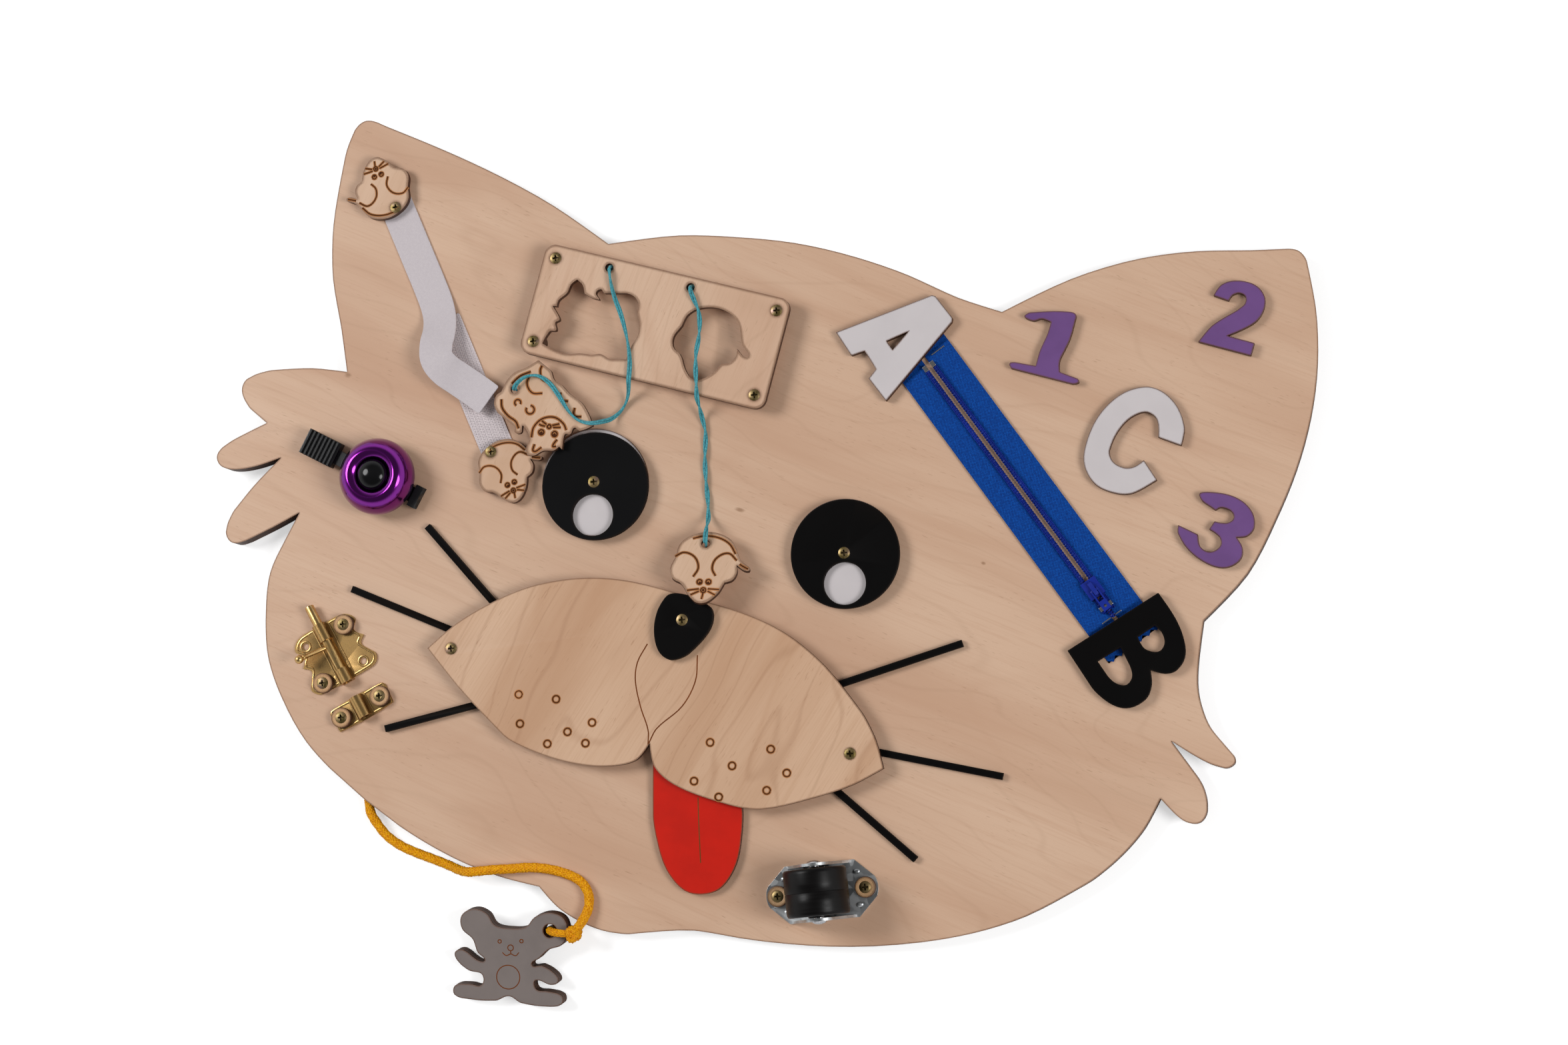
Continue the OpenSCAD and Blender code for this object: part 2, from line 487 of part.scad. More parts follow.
module letter_a() color("white") at(letter_a_at, glyph_z) difference() {
    sheet(letter_a_points, ply_t);
    translate([0, 0, -eps]) sheet(letter_a_hole, ply_t + 2 * eps);
}
module letter_b() color("black") at(letter_b_at, glyph_z) difference() {
    sheet(letter_b_points, ply_t);
    translate([0, 0, -eps]) sheet(letter_b_hole_up, ply_t + 2 * eps);
    translate([0, 0, -eps]) sheet(letter_b_hole_low, ply_t + 2 * eps);
}
module letter_c() color("white") at(letter_c_at, top_z) sheet(letter_c_points, ply_t);
module digit_1() color("indigo") at(digit_1_at, top_z) sheet(digit_1_points, ply_t);
module digit_2() color("indigo") at(digit_2_at, top_z) sheet(digit_2_points, ply_t);
module digit_3() color("indigo") at(digit_3_at, top_z) sheet(digit_3_points, ply_t);

// ---------- zipper ----------
// local frame: x runs from letter A to letter B, 0 at the closed slider
zip_turn = -39.5;
zip_rise = 0.9;                 // the tape stands this high over the board between the letters
row_w = 2.2;
row_h = 2;
row_top = -141.2;               // upper end of the teeth
row_end = 15;
stop_l = 3.2;
slider_l = 10;
slider_w = 8.6;
zip_end = 36;
zip_lift = [-144.4, -148.7];    // where the left and right tapes rise, beside the slanted letter
zip_drop = 18.2;
module in_zip(z = 0) at(zip_at, top_z + z, zip_turn) children();

// tape that lies flat at both ends and stands up by zip_rise between x0 and x1
module zip_tape(y, x0, x1) color("royalblue") in_zip() translate([0, y + tape_w / 2, 0]) rotate([90, 0, 0])
    linear_extrude(tape_w) polygon([[zip_end - zip_len, 0], [x0 + tape_t, 0], [x0 + tape_t, zip_rise],
        [x1 - tape_t, zip_rise], [x1 - tape_t, 0], [zip_end, 0], [zip_end, tape_t], [x1, tape_t],
        [x1, zip_rise + tape_t], [x0, zip_rise + tape_t], [x0, tape_t], [zip_end - zip_len, tape_t]]);
module zip_row(x, y, l, h) translate([x, y > 0 ? y : y - row_w, 0]) cube([l, row_w, h]);
module zip_teeth(y) color("navy") in_zip(zip_rise + tape_t) zip_row(row_top, y, row_end - row_top, row_h);
module zipper_tape_left() zip_tape(-teeth_gap / 2 - tape_w / 2, zip_lift[0], zip_drop);
module zipper_tape_right() zip_tape(teeth_gap / 2 + tape_w / 2, zip_lift[1], zip_drop);
module zipper_teeth_left() zip_teeth(-teeth_gap / 2);
module zipper_teeth_right() zip_teeth(teeth_gap / 2);

slide_gap = 0.15;
slider_roof = zip_rise + tape_t + row_h + slide_gap;
module zipper_slider() color("blue") in_zip() {
    post_w = teeth_gap - 2 * slide_gap;
    translate([-slider_l / 2, -slider_w / 2, 0.1]) cube([slider_l, slider_w, zip_rise - 0.1 - slide_gap]);
    translate([-slider_l / 2, -slider_w / 2, slider_roof]) cube([slider_l, slider_w, 0.9]);
    translate([-slider_l / 2, -post_w / 2, 0.1]) cube([slider_l, post_w, slider_roof]);
    flank_y = teeth_gap / 2 + row_w + slide_gap;
    flank_z = zip_rise + tape_t + slide_gap;
    for (y = [-slider_w / 2, flank_y]) translate([-slider_l / 2, y, flank_z])
        cube([slider_l, slider_w / 2 - flank_y, slider_roof - flank_z + eps]);
    difference() {
        translate([-3.5, 0, slider_roof + 0.9]) rotate([90, 0, 0]) translate([0, 0, -1.1]) linear_extrude(2.2)
            polygon([[-0.5, -eps], [0.6, 2.4], [5.4, 2.9], [7.6, 2.4], [7.6, -eps]]);
        translate([pull_x, 3, pull_z]) rotate([90, 0, 0]) cylinder(d = 1.5, h = 6);
    }
}

// pull tab on a round crosspiece in the slider's crown
pull_x = 1.5;
pull_z = slider_roof + 0.9 + 1.35;
pull_l = 12.5;
module zipper_pull() color("blue") in_zip() translate([pull_x, 0, pull_z]) {
    rotate([90, 0, 0]) translate([0, 0, -2.2]) cylinder(d = 1.4, h = 4.4);
    difference() {
        translate([-0.7, -2.2, -0.5]) cube([pull_l, 4.4, 1]);
        translate([-1, -1.4, -1]) cube([7.3, 2.8, 2]);
        translate([pull_l - 3, 0, -1]) cylinder(d = 1.6, h = 2);
    }
}

module zipper_stops() color("silver") in_zip(zip_rise + tape_t) {
    for (y = [-teeth_gap / 2, teeth_gap / 2]) zip_row(row_top - stop_l, y, stop_l, row_h + 0.3);
    translate([10, -teeth_gap / 2 - row_w - 0.4, row_h]) cube([2.4, teeth_gap + 2 * row_w + 0.8, 0.6]);
}
module zipper_staples() color("silver") in_zip(zip_rise + tape_t) {
    translate([zip_drop - 1.3, -7, 0]) cube([0.6, 12, 0.5]);
    translate([zip_lift[1] + 1.2, 4.5, 0]) cube([0.6, 8, 0.5]);
}

// ---------- bicycle bell ----------
// local frame: x points from the middle of the bell to the thumb pad
bell_turn = 168;
base_h = 2.5;
post_d = 8;
rim_z = 7.5;
dome_seat = dome_h - 3.4;       // height over the rim of the sunk middle of the dome
lever_z = base_h + 0.3;
lever_t = 3.8;
pin_at = [11, 3.2];
pad_x = 25.5;
module in_bell(z = 0) at(bell_at, top_z + z, bell_turn) children();

module bell_base() color("black") in_bell() difference() {
    union() {
        cylinder(d = bell_d - 9, h = base_h);
        cylinder(d = post_d, h = rim_z + dome_seat - 0.6);
        rotate([0, 0, 179]) translate([0, -4, 0]) cube([22, 8, base_h]);
        rotate([0, 0, 179]) translate([20.6, -6, 0]) cube([4.2, 12, 6]);
    }
    translate([0, 0, -eps]) cylinder(d = pivot_d, h = 40);
    at(pin_at, -eps) cylinder(d = 3, h = base_h + 2 * eps);
}

// half section of the dome: over the outside to the screw, and back along the inside
module bell_dome() color("purple") in_bell(rim_z) {
    r = bell_d / 2;
    h = dome_h;
    w = dome_wall;
    outside = [[r, 0, 1], [r, 0.12 * h], [0.955 * r, 0.45 * h], [0.82 * r, 0.8 * h], [0.64 * r, 0.97 * h],
        [0.52 * r, 0.97 * h], [0.44 * r, 0.84 * h], [0.4 * r, dome_seat, 1], [1.8, dome_seat, 1]];
    inside = [[1.8, dome_seat - 0.6, 1], [0.44 * r, dome_seat - 0.6, 1], [0.5 * r, 0.75 * h],
        [0.56 * r, 0.97 * h - w - 0.3], [0.63 * r, 0.97 * h - w], [0.8 * r - w, 0.76 * h],
        [0.955 * r - w, 0.42 * h], [r - w, 0.1 * h], [r - w, 0, 1]];
    rotate_extrude($fn = 96) polygon(outline(concat(outside, inside)));
}

module bell_cap() color("black") in_bell(rim_z + dome_seat) difference() {
    intersection() {
        cylinder(d = 0.38 * bell_d, h = 8);
        translate([0, 0, -6.2]) sphere(d = 23);
    }
    translate([0, 0, -eps]) cylinder(d = head_d + 0.4, h = head_h + 0.6);
}

// arm on its pin, with a ribbed thumb pad outside the dome and a striker inside
module bell_lever() color("black") in_bell(lever_z) difference() {
    union() {
        sheet([[7.5, 3.2], [9, 6.6], [12.5, 7.2], [18, 4.5], [pad_x + 1, 4.5, 1], [pad_x + 1, -3.5, 1],
            [18, -3], [12, -1], [8.6, 0.2]], lever_t);
        translate([pad_x, -7, 0]) cube([19.5, 14, 6]);
        for (i = [0 : 7]) translate([pad_x + 1.1 + i * 2.35, -7, 6 - eps]) cube([1.2, 14, 1.2]);
    }
    at(pin_at, -eps) cylinder(d = 3 + 2 * run_gap, h = lever_t + 2 * eps);
}
module bell_pin() color("silver") in_bell() {
    at(pin_at) cylinder(d = 3, h = lever_z + lever_t + 1.6);
    at(pin_at, lever_z + lever_t + 1.6) cylinder(d = 4.6, h = 0.8);
}
module bell_spring() color("silver") in_bell(lever_z + lever_t + 0.1) at(pin_at)
    for (z = [0.35, 1.1]) translate([0, 0, z]) rotate_extrude() translate([2.1, 0]) circle(d = 0.7, $fn = 16);
module bell_screw() color("gold") at(bell_at) wood_screw(top_z + rim_z + dome_seat + head_h);

// ---------- brass latch ----------
// local frame: x runs along the bolt towards the keeper, y to the upper right
latch_turn = -46.6;
bolt_z = brass_t + bolt_d / 2 + 0.3;
guide_bore = bolt_d + 2 * run_gap;
guide_d = guide_bore + 2 * brass_t;
latch_holes = [[-6.5, 12], [15.5, 12.2], [-6.5, -12], [15.5, -12.2]];
latch_screws = [latch_holes[0], latch_holes[3]];
keeper_x = [29.5, 43.5];
keeper_screws = [for (s = [-1, 1]) [(keeper_x[0] + keeper_x[1]) / 2, s * 11.8]];
half_plate = [[-12.8, 0, 1], [-12.8, 6, 1], [-12, 14], [-7, 18.4], [-1.8, 15.2], [3.2, 18.8, 1], [6.4, 15.4],
    [11, 17.6], [15.5, 20], [19.6, 17], [20.4, 11], [20.6, 5, 1], [20.6, 0, 1]];
module in_latch(z = 0) at(latch_at, top_z + z, latch_turn) children();
module guide(x0, x1) translate([x0, 0, bolt_z]) rotate([0, 90, 0]) cylinder(d = guide_d, h = x1 - x0);
module guide_foot(x0, x1) translate([x0, -guide_d / 2, 0]) cube([x1 - x0, guide_d, bolt_z]);
module bolt_bore(x0, x1) translate([x0, 0, bolt_z]) rotate([0, 90, 0]) cylinder(d = guide_bore, h = x1 - x0);

module latch_plate() color("goldenrod") in_latch() difference() {
    union() {
        sheet(half_plate, brass_t);
        mirror([0, 1, 0]) sheet(half_plate, brass_t);
        guide(-12.8, -3.2);
        guide_foot(-12.8, -3.2);
        guide(14, 21.6);
        guide_foot(14, 21.6);
    }
    bolt_bore(-20, 30);
    for (p = latch_holes) at(p, -eps) cylinder(d = 3.6, h = brass_t + 2 * eps);
}
module latch_bolt() color("goldenrod") in_latch(bolt_z) difference() {
    translate([21 - bolt_len, 0, 0]) rotate([0, 90, 0]) cylinder(d = bolt_d, h = bolt_len);
    rotate([90 + knob_lift, 0, 0]) translate([0, 0, 0.6]) cylinder(d = 2.2, h = 10);
}
// knob screwed into the bolt, standing up over the washers
knob_lift = -28;
module latch_knob() color("goldenrod") in_latch(bolt_z) rotate([90 + knob_lift, 0, 0]) {
    translate([0, 0, 0.6]) cylinder(d = 2.2, h = 15.6);
    translate([0, 0, 17.6]) sphere(d = 4.6);
}
module latch_keeper() color("goldenrod") in_latch() difference() {
    w = keeper_x[1] - keeper_x[0];
    union() {
        translate([keeper_x[0], -17, 0]) sheet([[1, 1.2, 1], [0, 17], [1, 32.8, 1], [2.5, 34, 1],
            [w - 1, 33.4, 1], [w, 17], [w - 1, 0.6, 1], [2.5, 0, 1]], brass_t);
        guide(keeper_x[0] + 1, keeper_x[1] - 1);
        guide_foot(keeper_x[0] + 1, keeper_x[1] - 1);
    }
    bolt_bore(20, 50);
    for (p = keeper_screws) at(p, -eps) cylinder(d = 3.6, h = brass_t + 2 * eps);
}

// ---------- caster ----------
// local frame: x along the plate, y along the axle
caster_turn = 21;
plate_hole_x = 22.7;
axle_z = steel_t + wheel_d / 2 + 1.6;
ear_y = wheel_w / 2 + 1.2;
fork_y = ear_y + steel_t;
caster_screws = [[-plate_hole_x, 0], [plate_hole_x, 0]];
module in_caster(z = 0) at(caster_at, top_z + z, caster_turn) children();
module across(d, y0, y1) translate([0, y1, axle_z]) rotate([90, 0, 0]) cylinder(d = d, h = y1 - y0);

module caster_fork() color("silver") in_caster() difference() {
    union() {
        sheet([[-29, 0], [-27.5, 5.5], [-18, fork_y, 1], [18, fork_y, 1], [27.5, 5.5], [29, 0], [27.5, -5.5],
            [18, -fork_y, 1], [-18, -fork_y, 1], [-27.5, -5.5]], steel_t);
        for (y = [-ear_y, fork_y]) translate([0, y, 0]) rotate([90, 0, 0])
            sheet([[-17, 0, 1], [17, 0, 1], [16, 3.5], [9, axle_z - 3], [6, axle_z + 4.2], [0, axle_z + 6.5],
                [-6, axle_z + 4.2], [-9, axle_z - 3], [-16, 3.5]], steel_t);
    }
    across(axle_d, -30, 30);
    for (p = caster_screws) at(p, -eps) cylinder(d = 4, h = steel_t + 2 * eps);
}
module caster_wheel() color("dimgray") in_caster() difference() {
    union() {
        across(wheel_d, -wheel_w / 2, wheel_w / 2);
        across(11, -ear_y + 0.3, ear_y - 0.3);
    }
    for (y = [-6, 6]) difference() {
        across(wheel_d + 2, y - 0.5, y + 0.5);
        across(wheel_d - 1.6, y - 0.6, y + 0.6);
    }
    for (y = [-wheel_w / 2 - 1, wheel_w / 2 - 2]) difference() {
        across(wheel_d - 7, y, y + 3);
        across(11, -20, 20);
    }
    across(axle_d + 2 * run_gap, -30, 30);
}
module caster_axle() color("silver") in_caster() {
    rivet_h = 1.6;
    across(axle_d, -fork_y, fork_y);
    for (y = [-fork_y - rivet_h, fork_y]) across(axle_d + 3, y, y + rivet_h);
}

// wooden rings under the screws of the latch and the caster
washer_d = 10.8;
washer_t = 3;
function turned(p, o, a) = o + [p[0] * cos(a) - p[1] * sin(a), p[0] * sin(a) + p[1] * cos(a)];
latch_places = [for (p = concat(latch_screws, keeper_screws)) turned(p, latch_at, latch_turn)];
caster_places = [for (p = caster_screws) turned(p, caster_at, caster_turn)];
fitting_places = concat(latch_places, caster_places);
module on_fittings() {
    for (p = latch_places) at(p, top_z + brass_t) children();
    for (p = caster_places) at(p, top_z + steel_t) children();
}
module ring_washers() color("wheat") on_fittings() difference() {
    cylinder(d = washer_d, h = washer_t);
    screw_hole(washer_t);
}
module fitting_screws() color("gold") {
    for (p = latch_places) at(p) wood_screw(top_z + brass_t + washer_t);
    for (p = caster_places) at(p) wood_screw(top_z + steel_t + washer_t);
}

// ---------- pull cord and toy ----------
toy_layer = 4;
toy_turn = 10;
toy_foot = 22.5;
toy_hole = [21, 17];
loop_r = 7.5;
loop_d = 4;
knot_at = [toy_hole[0] + 13.2, toy_hole[1], toy_layer + 7.4];
function tilted(p) = [p[0], (p[1] + toy_foot) * cos(toy_tilt) - p[2] * sin(toy_tilt) - toy_foot,
    (p[1] + toy_foot) * sin(toy_tilt) + p[2] * cos(toy_tilt) + 0.1];
knot_xy = turned(tilted(knot_at), toy_at, toy_turn);
knot_end = [knot_xy[0], knot_xy[1], tilted(knot_at)[2]];
pull_route = [[-155.6, -169.5, 5], [-151, -180.6, 5], [-148.4, -186.6, 4.7], [-143.5, -191.3, 4.1],
    [-137.4, -195.8, 3.2], [-129, -199, 2.6], [-119.5, -200.5, 2.6], [-110, -201.3, 2.6],
    [-100, -202.3, 3], [-93.5, -202.9, 6.9], [-87.5, -202.4, 11.3], [-81, -200.2, 12.9], [-74, -197.6, 12.7],
    [-66, -195, 12.6], [-56, -191.6, 12.5], [-46, -189.8, 12.5], [-36, -189.7, 12.5], [-28, -191.4, 12.5],
    [-22.5, -196, 12.6], [-20.2, -202.5, 12.8], [-20.8, -209, 13.6], knot_end];
module pull_cord() color("gold") tube(pull_route, pull_d, 10, 2);

module in_toy() at(toy_at, 0.1, toy_turn) translate([0, -toy_foot, 0]) rotate([toy_tilt, 0, 0])
    translate([0, toy_foot, 0]) children();
module toy_sheet() difference() {
    sheet(toy_points, toy_layer);
    at(toy_hole, -eps) cylinder(d = 7, h = toy_layer + 2 * eps);
}
module toy_back() color("saddlebrown") in_toy() toy_sheet();
module toy_front() color("gray") in_toy() translate([0, 0, toy_layer]) toy_sheet();
// ring of cord through the toy's ear, and the knot that ties it
module toy_loop() color("gold") in_toy() {
    translate([toy_hole[0] + 6.5, toy_hole[1], toy_layer]) rotate([90, 0, 0])
        rotate_extrude() translate([loop_r, 0]) circle(d = loop_d, $fn = 24);
    translate(knot_at) sphere(d = 9);
}

base_board();
muzzle_plate();
muzzle_spacers();
whiskers_left();
whiskers_right();
nose_disc();
tongue();
eye_left_backing();
eye_left_disc();
eye_right_backing();
eye_right_disc();
eye_screws();
face_screws();
lacing_plate();
lacing_spacers();
lacing_screws();
lacing_knots();
kitten_pendant();
mouse_pendant();
kitten_cord();
mouse_cord();
strap_loop_tape();
strap_hook_tape();
mouse_clamp_upper();
mouse_clamp_lower();
clamp_screws();
letter_a();
letter_b();
letter_c();
digit_1();
digit_2();
digit_3();
zipper_tape_left();
zipper_tape_right();
zipper_teeth_left();
zipper_teeth_right();
zipper_slider();
zipper_pull();
zipper_stops();
zipper_staples();
bell_base();
bell_dome();
bell_cap();
bell_lever();
bell_pin();
bell_spring();
bell_screw();
latch_plate();
latch_bolt();
latch_knob();
latch_keeper();
ring_washers();
fitting_screws();
caster_fork();
caster_wheel();
caster_axle();
pull_cord();
toy_loop();
toy_front();
toy_back();
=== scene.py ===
import math
import bmesh
import bpy
from mathutils import Matrix, Vector


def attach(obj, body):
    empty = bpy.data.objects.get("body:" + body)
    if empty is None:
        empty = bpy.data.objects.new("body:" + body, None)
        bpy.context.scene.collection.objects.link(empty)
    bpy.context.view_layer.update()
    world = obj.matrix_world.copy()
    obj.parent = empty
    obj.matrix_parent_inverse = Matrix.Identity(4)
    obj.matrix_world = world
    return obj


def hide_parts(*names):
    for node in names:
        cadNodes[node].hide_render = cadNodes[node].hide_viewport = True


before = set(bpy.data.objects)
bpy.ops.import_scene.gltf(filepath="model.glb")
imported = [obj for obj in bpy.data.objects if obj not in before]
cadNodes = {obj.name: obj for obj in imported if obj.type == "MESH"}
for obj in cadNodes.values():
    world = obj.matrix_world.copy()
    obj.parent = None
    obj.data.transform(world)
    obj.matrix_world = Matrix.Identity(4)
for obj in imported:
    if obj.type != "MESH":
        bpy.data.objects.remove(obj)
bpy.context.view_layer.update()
scene = bpy.context.scene
milli = 0.001
# every length below is in mm, and every angle in degrees, unless a name says otherwise
boardTop = 10

cameraView = {
    "place": (340.2, -82.1, 1635.5),
    "right": (0.95263, 0.25333, -0.16829),
    "up": (-0.23853, 0.96562, 0.10334),
    "back": (0.18868, -0.05831, 0.98031),
    "lens": 73.47,
    "sensor": 36,
    "clipMetres": (0.05, 20),
}


def makeCamera(view):
    data = bpy.data.cameras.new("boardCamera")
    data.lens = view["lens"]
    data.sensor_width = view["sensor"]
    data.clip_start, data.clip_end = view["clipMetres"]
    camera = bpy.data.objects.new("boardCamera", data)
    scene.collection.objects.link(camera)
    axes = Matrix((view["right"], view["up"], view["back"])).transposed()
    camera.matrix_world = Matrix.Translation(Vector(view["place"]) * milli) @ axes.to_4x4()
    scene.camera = camera


makeCamera(cameraView)
print("camera ready")


def rgb(red, green, blue):
    tones = [c / 255 for c in (red, green, blue)]
    return [t / 12.92 if t <= 0.04045 else ((t + 0.055) / 1.055) ** 2.4 for t in tones] + [1]


def addNode(tree, kind, inputs=None, **settings):
    node = tree.nodes.new("ShaderNode" + kind)
    for key, value in settings.items():
        setattr(node, key, value)
    for key, value in (inputs or {}).items():
        if isinstance(value, bpy.types.NodeSocket):
            tree.links.new(value, node.inputs[key])
        else:
            node.inputs[key].default_value = value
    return node


def newFinish(name, colour, rough, metal=0, **sockets):
    finish = bpy.data.materials.new(name)
    finish.use_nodes = True
    finish.diffuse_color = colour
    shader = finish.node_tree.nodes["Principled BSDF"]
    sockets.update(Base_Color=colour, Roughness=rough, Metallic=metal)
    for key, value in sockets.items():
        shader.inputs[key.replace("_", " ")].default_value = value
    return finish, finish.node_tree, shader


def placeOf(tree, turn=0, stretch=(1, 1, 1), shift=(0, 0, 0), source="Object"):
    spot = addNode(tree, "TexCoord").outputs[source]
    traits = {"Vector": spot, "Location": shift, "Rotation": (0, 0, math.radians(turn))}
    mapped = addNode(tree, "Mapping", traits).outputs[0]
    return addNode(tree, "VectorMath", {0: mapped, 1: stretch}, operation="MULTIPLY").outputs[0]


# the helpers below build in the node tree of the socket that they are given
def noiseOf(vector, detail=3, rough=0.5, warp=0, scale=1):
    traits = {"Vector": vector, "Scale": scale, "Detail": detail, "Roughness": rough, "Distortion": warp}
    return addNode(vector.id_data, "TexNoise", traits).outputs["Fac"]


def rangeOf(value, low, high, toLow=0, toHigh=1):
    limits = {"Value": value, "From Min": low, "From Max": high, "To Min": toLow, "To Max": toHigh}
    return addNode(value.id_data, "MapRange", limits, interpolation_type="SMOOTHSTEP").outputs["Result"]


def mathOf(operation, first, second=0):
    return addNode(first.id_data, "Math", {0: first, 1: second}, operation=operation).outputs[0]


def timesOf(first, second):
    return mathOf("MULTIPLY", first, second)


def axisOf(vector, letter):
    return addNode(vector.id_data, "SeparateXYZ", {0: vector}).outputs[letter]


def reachOf(vector):
    return addNode(vector.id_data, "VectorMath", {0: vector}, operation="LENGTH").outputs["Value"]


def mixOf(factor, first, second):
    colours = {0: factor, 6: first, 7: second}
    return addNode(factor.id_data, "Mix", colours, data_type="RGBA", blend_type="MIX").outputs[2]


def feed(shader, socket, value):
    value.id_data.links.new(value, shader.inputs[socket])


def dress(shader, colour, height, strength, distance):
    # a finish's own colour, and its dents of the given strength and depth in metres
    traits = {"Height": height, "Strength": strength, "Distance": distance}
    feed(shader, "Base Color", colour)
    feed(shader, "Normal", addNode(height.id_data, "Bump", traits).outputs[0])


# how steep a face counts as a side wall, and how far a rounded normal has to lean to count as an arris
edgeLimits = {"wall": (0.955, 0.9), "rim": (0.9995, 0.96), "rimSamples": 6}


def wallOf(tree):
    # 1 on a side wall, 0 on a face that looks up or down
    normal = addNode(tree, "TexCoord").outputs["Normal"]
    return rangeOf(mathOf("ABSOLUTE", axisOf(normal, "Z")), *edgeLimits["wall"])


def rimOf(tree, reach):
    # 1 along an arris, where a rounded normal leaves the true one
    soft = addNode(tree, "Bevel", {"Radius": reach * milli}, samples=edgeLimits["rimSamples"]).outputs[0]
    flat = addNode(tree, "NewGeometry").outputs["True Normal"]
    lean = addNode(tree, "VectorMath", {0: soft, 1: flat}, operation="DOT_PRODUCT").outputs["Value"]
    return rangeOf(lean, *edgeLimits["rim"])


# each wood: its colours, the turn of its grain, shares of its figure and growth lines, the reach of its burnt
# rim, its gloss, half of its plies' spacing, and its knots as (x, y, length, width)
birchBoard = {
    "light": rgb(215, 181, 154), "dark": rgb(197, 157, 129), "fleck": rgb(150, 112, 82), "turn": 8,
    "figure": 0.35, "lines": 0.08, "rim": 1.4, "rough": 0.5, "ply": 1.42,
    "marks": [(3.1, 15.4, 4, 1.7), (133.3, 19.2, 1.8, 1.3), (-222, 34.5, 3, 2.2)]}
birchMuzzle = {
    "light": rgb(214, 178, 148), "dark": rgb(190, 147, 114), "fleck": rgb(150, 103, 70), "turn": 108,
    "figure": 0.55, "lines": 0.2, "rim": 1.4, "rough": 0.5, "ply": 1.3}
birchThin = {
    "light": rgb(218, 185, 158), "dark": rgb(199, 161, 131), "fleck": rgb(158, 116, 78), "turn": 100,
    "figure": 0.5, "lines": 0, "rim": 2.8, "rough": 0.52, "ply": 1.3}
birchPlate = {**birchBoard, "turn": 98, "ply": 1.3, "figure": 0.6, "lines": 0.1, "rim": 2.6, "marks": []}
beechRing = {**birchThin, "light": rgb(226, 186, 140), "dark": rgb(206, 160, 112)}
scorch = {"reach": 1.3, "share": 0.85, "colour": rgb(104, 66, 40)}
burntWall = {
    "dark": rgb(46, 27, 18), "mid": rgb(92, 58, 37), "glue": rgb(28, 17, 12), "streaks": (900, 900, 60),
    "glueLine": (0.12 * milli, 0.3 * milli), "glueShare": 0.7, "paintedPly": 1.3}
# how the grain is stretched along, across and down, and how much of each effect shows
grain = {
    "broad": (3.5, 20, 8), "fibre": (28, 900, 60), "rings": (2.2, 9, 6), "ringCount": 9, "ringWidth": 0.16,
    "fibreShare": 0.42, "ringShare": 0.5, "fleck": (170, 1500, 200), "spots": (30, 60, 30),
    "spotShift": (0.3, 0.1, 0), "knotEdge": 0.9, "knotShare": 0.75, "dent": 0.25, "depth": 0.00012}
growth = {"perMetre": 62, "wander": (6, 14, 8), "bend": 9, "width": 0.09}


def burntColour(tree, ply):
    # laser-burnt plies seen on a side wall, with streaks down the wall
    streaks = noiseOf(placeOf(tree, stretch=burntWall["streaks"]), 2)
    tone = mixOf(streaks, burntWall["dark"], burntWall["mid"])
    layer = mathOf("PINGPONG", axisOf(placeOf(tree), "Z"), ply * milli)
    line = rangeOf(layer, *burntWall["glueLine"], 1, 0)
    return mixOf(timesOf(line, burntWall["glueShare"]), tone, burntWall["glue"])


def linesOf(tree, wood):
    # thin growth lines that wander along the grain
    across = axisOf(placeOf(tree, wood["turn"], (growth["perMetre"],) * 3), "Y")
    wander = noiseOf(placeOf(tree, wood["turn"], growth["wander"]), 2, 0.4, 0.3)
    phase = mathOf("ADD", across, timesOf(wander, growth["bend"]))
    return rangeOf(mathOf("PINGPONG", phase, 0.5), 0, growth["width"], wood["lines"], 0)


def woodFinish(name, wood):
    finish, tree, shader = newFinish(name, wood["light"], wood["rough"], Specular_IOR_Level=0.35)
    turn = wood["turn"]
    broad = noiseOf(placeOf(tree, turn, grain["broad"]), 3, 0.5, 0.6)
    fibre = noiseOf(placeOf(tree, turn, grain["fibre"]), 4, 0.6)
    rings = noiseOf(placeOf(tree, turn, grain["rings"]), 1.5, 0.4, 1.2)
    bands = mathOf("PINGPONG", timesOf(rings, grain["ringCount"]), 0.5)
    figure = timesOf(rangeOf(bands, 0, grain["ringWidth"], 1, 0), wood["figure"])
    colour = mixOf(rangeOf(broad, 0.3, 0.75), wood["light"], wood["dark"])
    fibreShare = timesOf(rangeOf(fibre, 0.42, 0.78), grain["fibreShare"])
    colour = mixOf(fibreShare, colour, wood["dark"])
    colour = mixOf(timesOf(figure, grain["ringShare"]), colour, wood["dark"])
    if wood["lines"]:
        colour = mixOf(linesOf(tree, wood), colour, wood["fleck"])
    fleck = noiseOf(placeOf(tree, turn, grain["fleck"]), 1)
    spots = noiseOf(placeOf(tree, turn, grain["spots"], grain["spotShift"]), 1)
    fleckShare = timesOf(rangeOf(fleck, 0.66, 0.74), rangeOf(spots, 0.45, 0.6, 0.05, 0.35))
    colour = mixOf(fleckShare, colour, wood["fleck"])
    for x, y, long, wide in wood.get("marks", ()):
        shift = (-x * milli, -y * milli, -boardTop * milli)
        oval = placeOf(tree, 0, (1 / (long * milli), 1 / (wide * milli), 0), shift)
        wobble = mathOf("ADD", reachOf(oval), timesOf(fibre, grain["knotEdge"]))
        colour = mixOf(rangeOf(wobble, 1.3, 0.6, 0, grain["knotShare"]), colour, wood["fleck"])
    rimShare = timesOf(rimOf(tree, wood["rim"]), scorch["share"])
    colour = mixOf(rimShare, colour, scorch["colour"])
    colour = mixOf(wallOf(tree), colour, burntColour(tree, wood["ply"]))
    dress(shader, colour, fibre, grain["dent"], grain["depth"])
    return finish


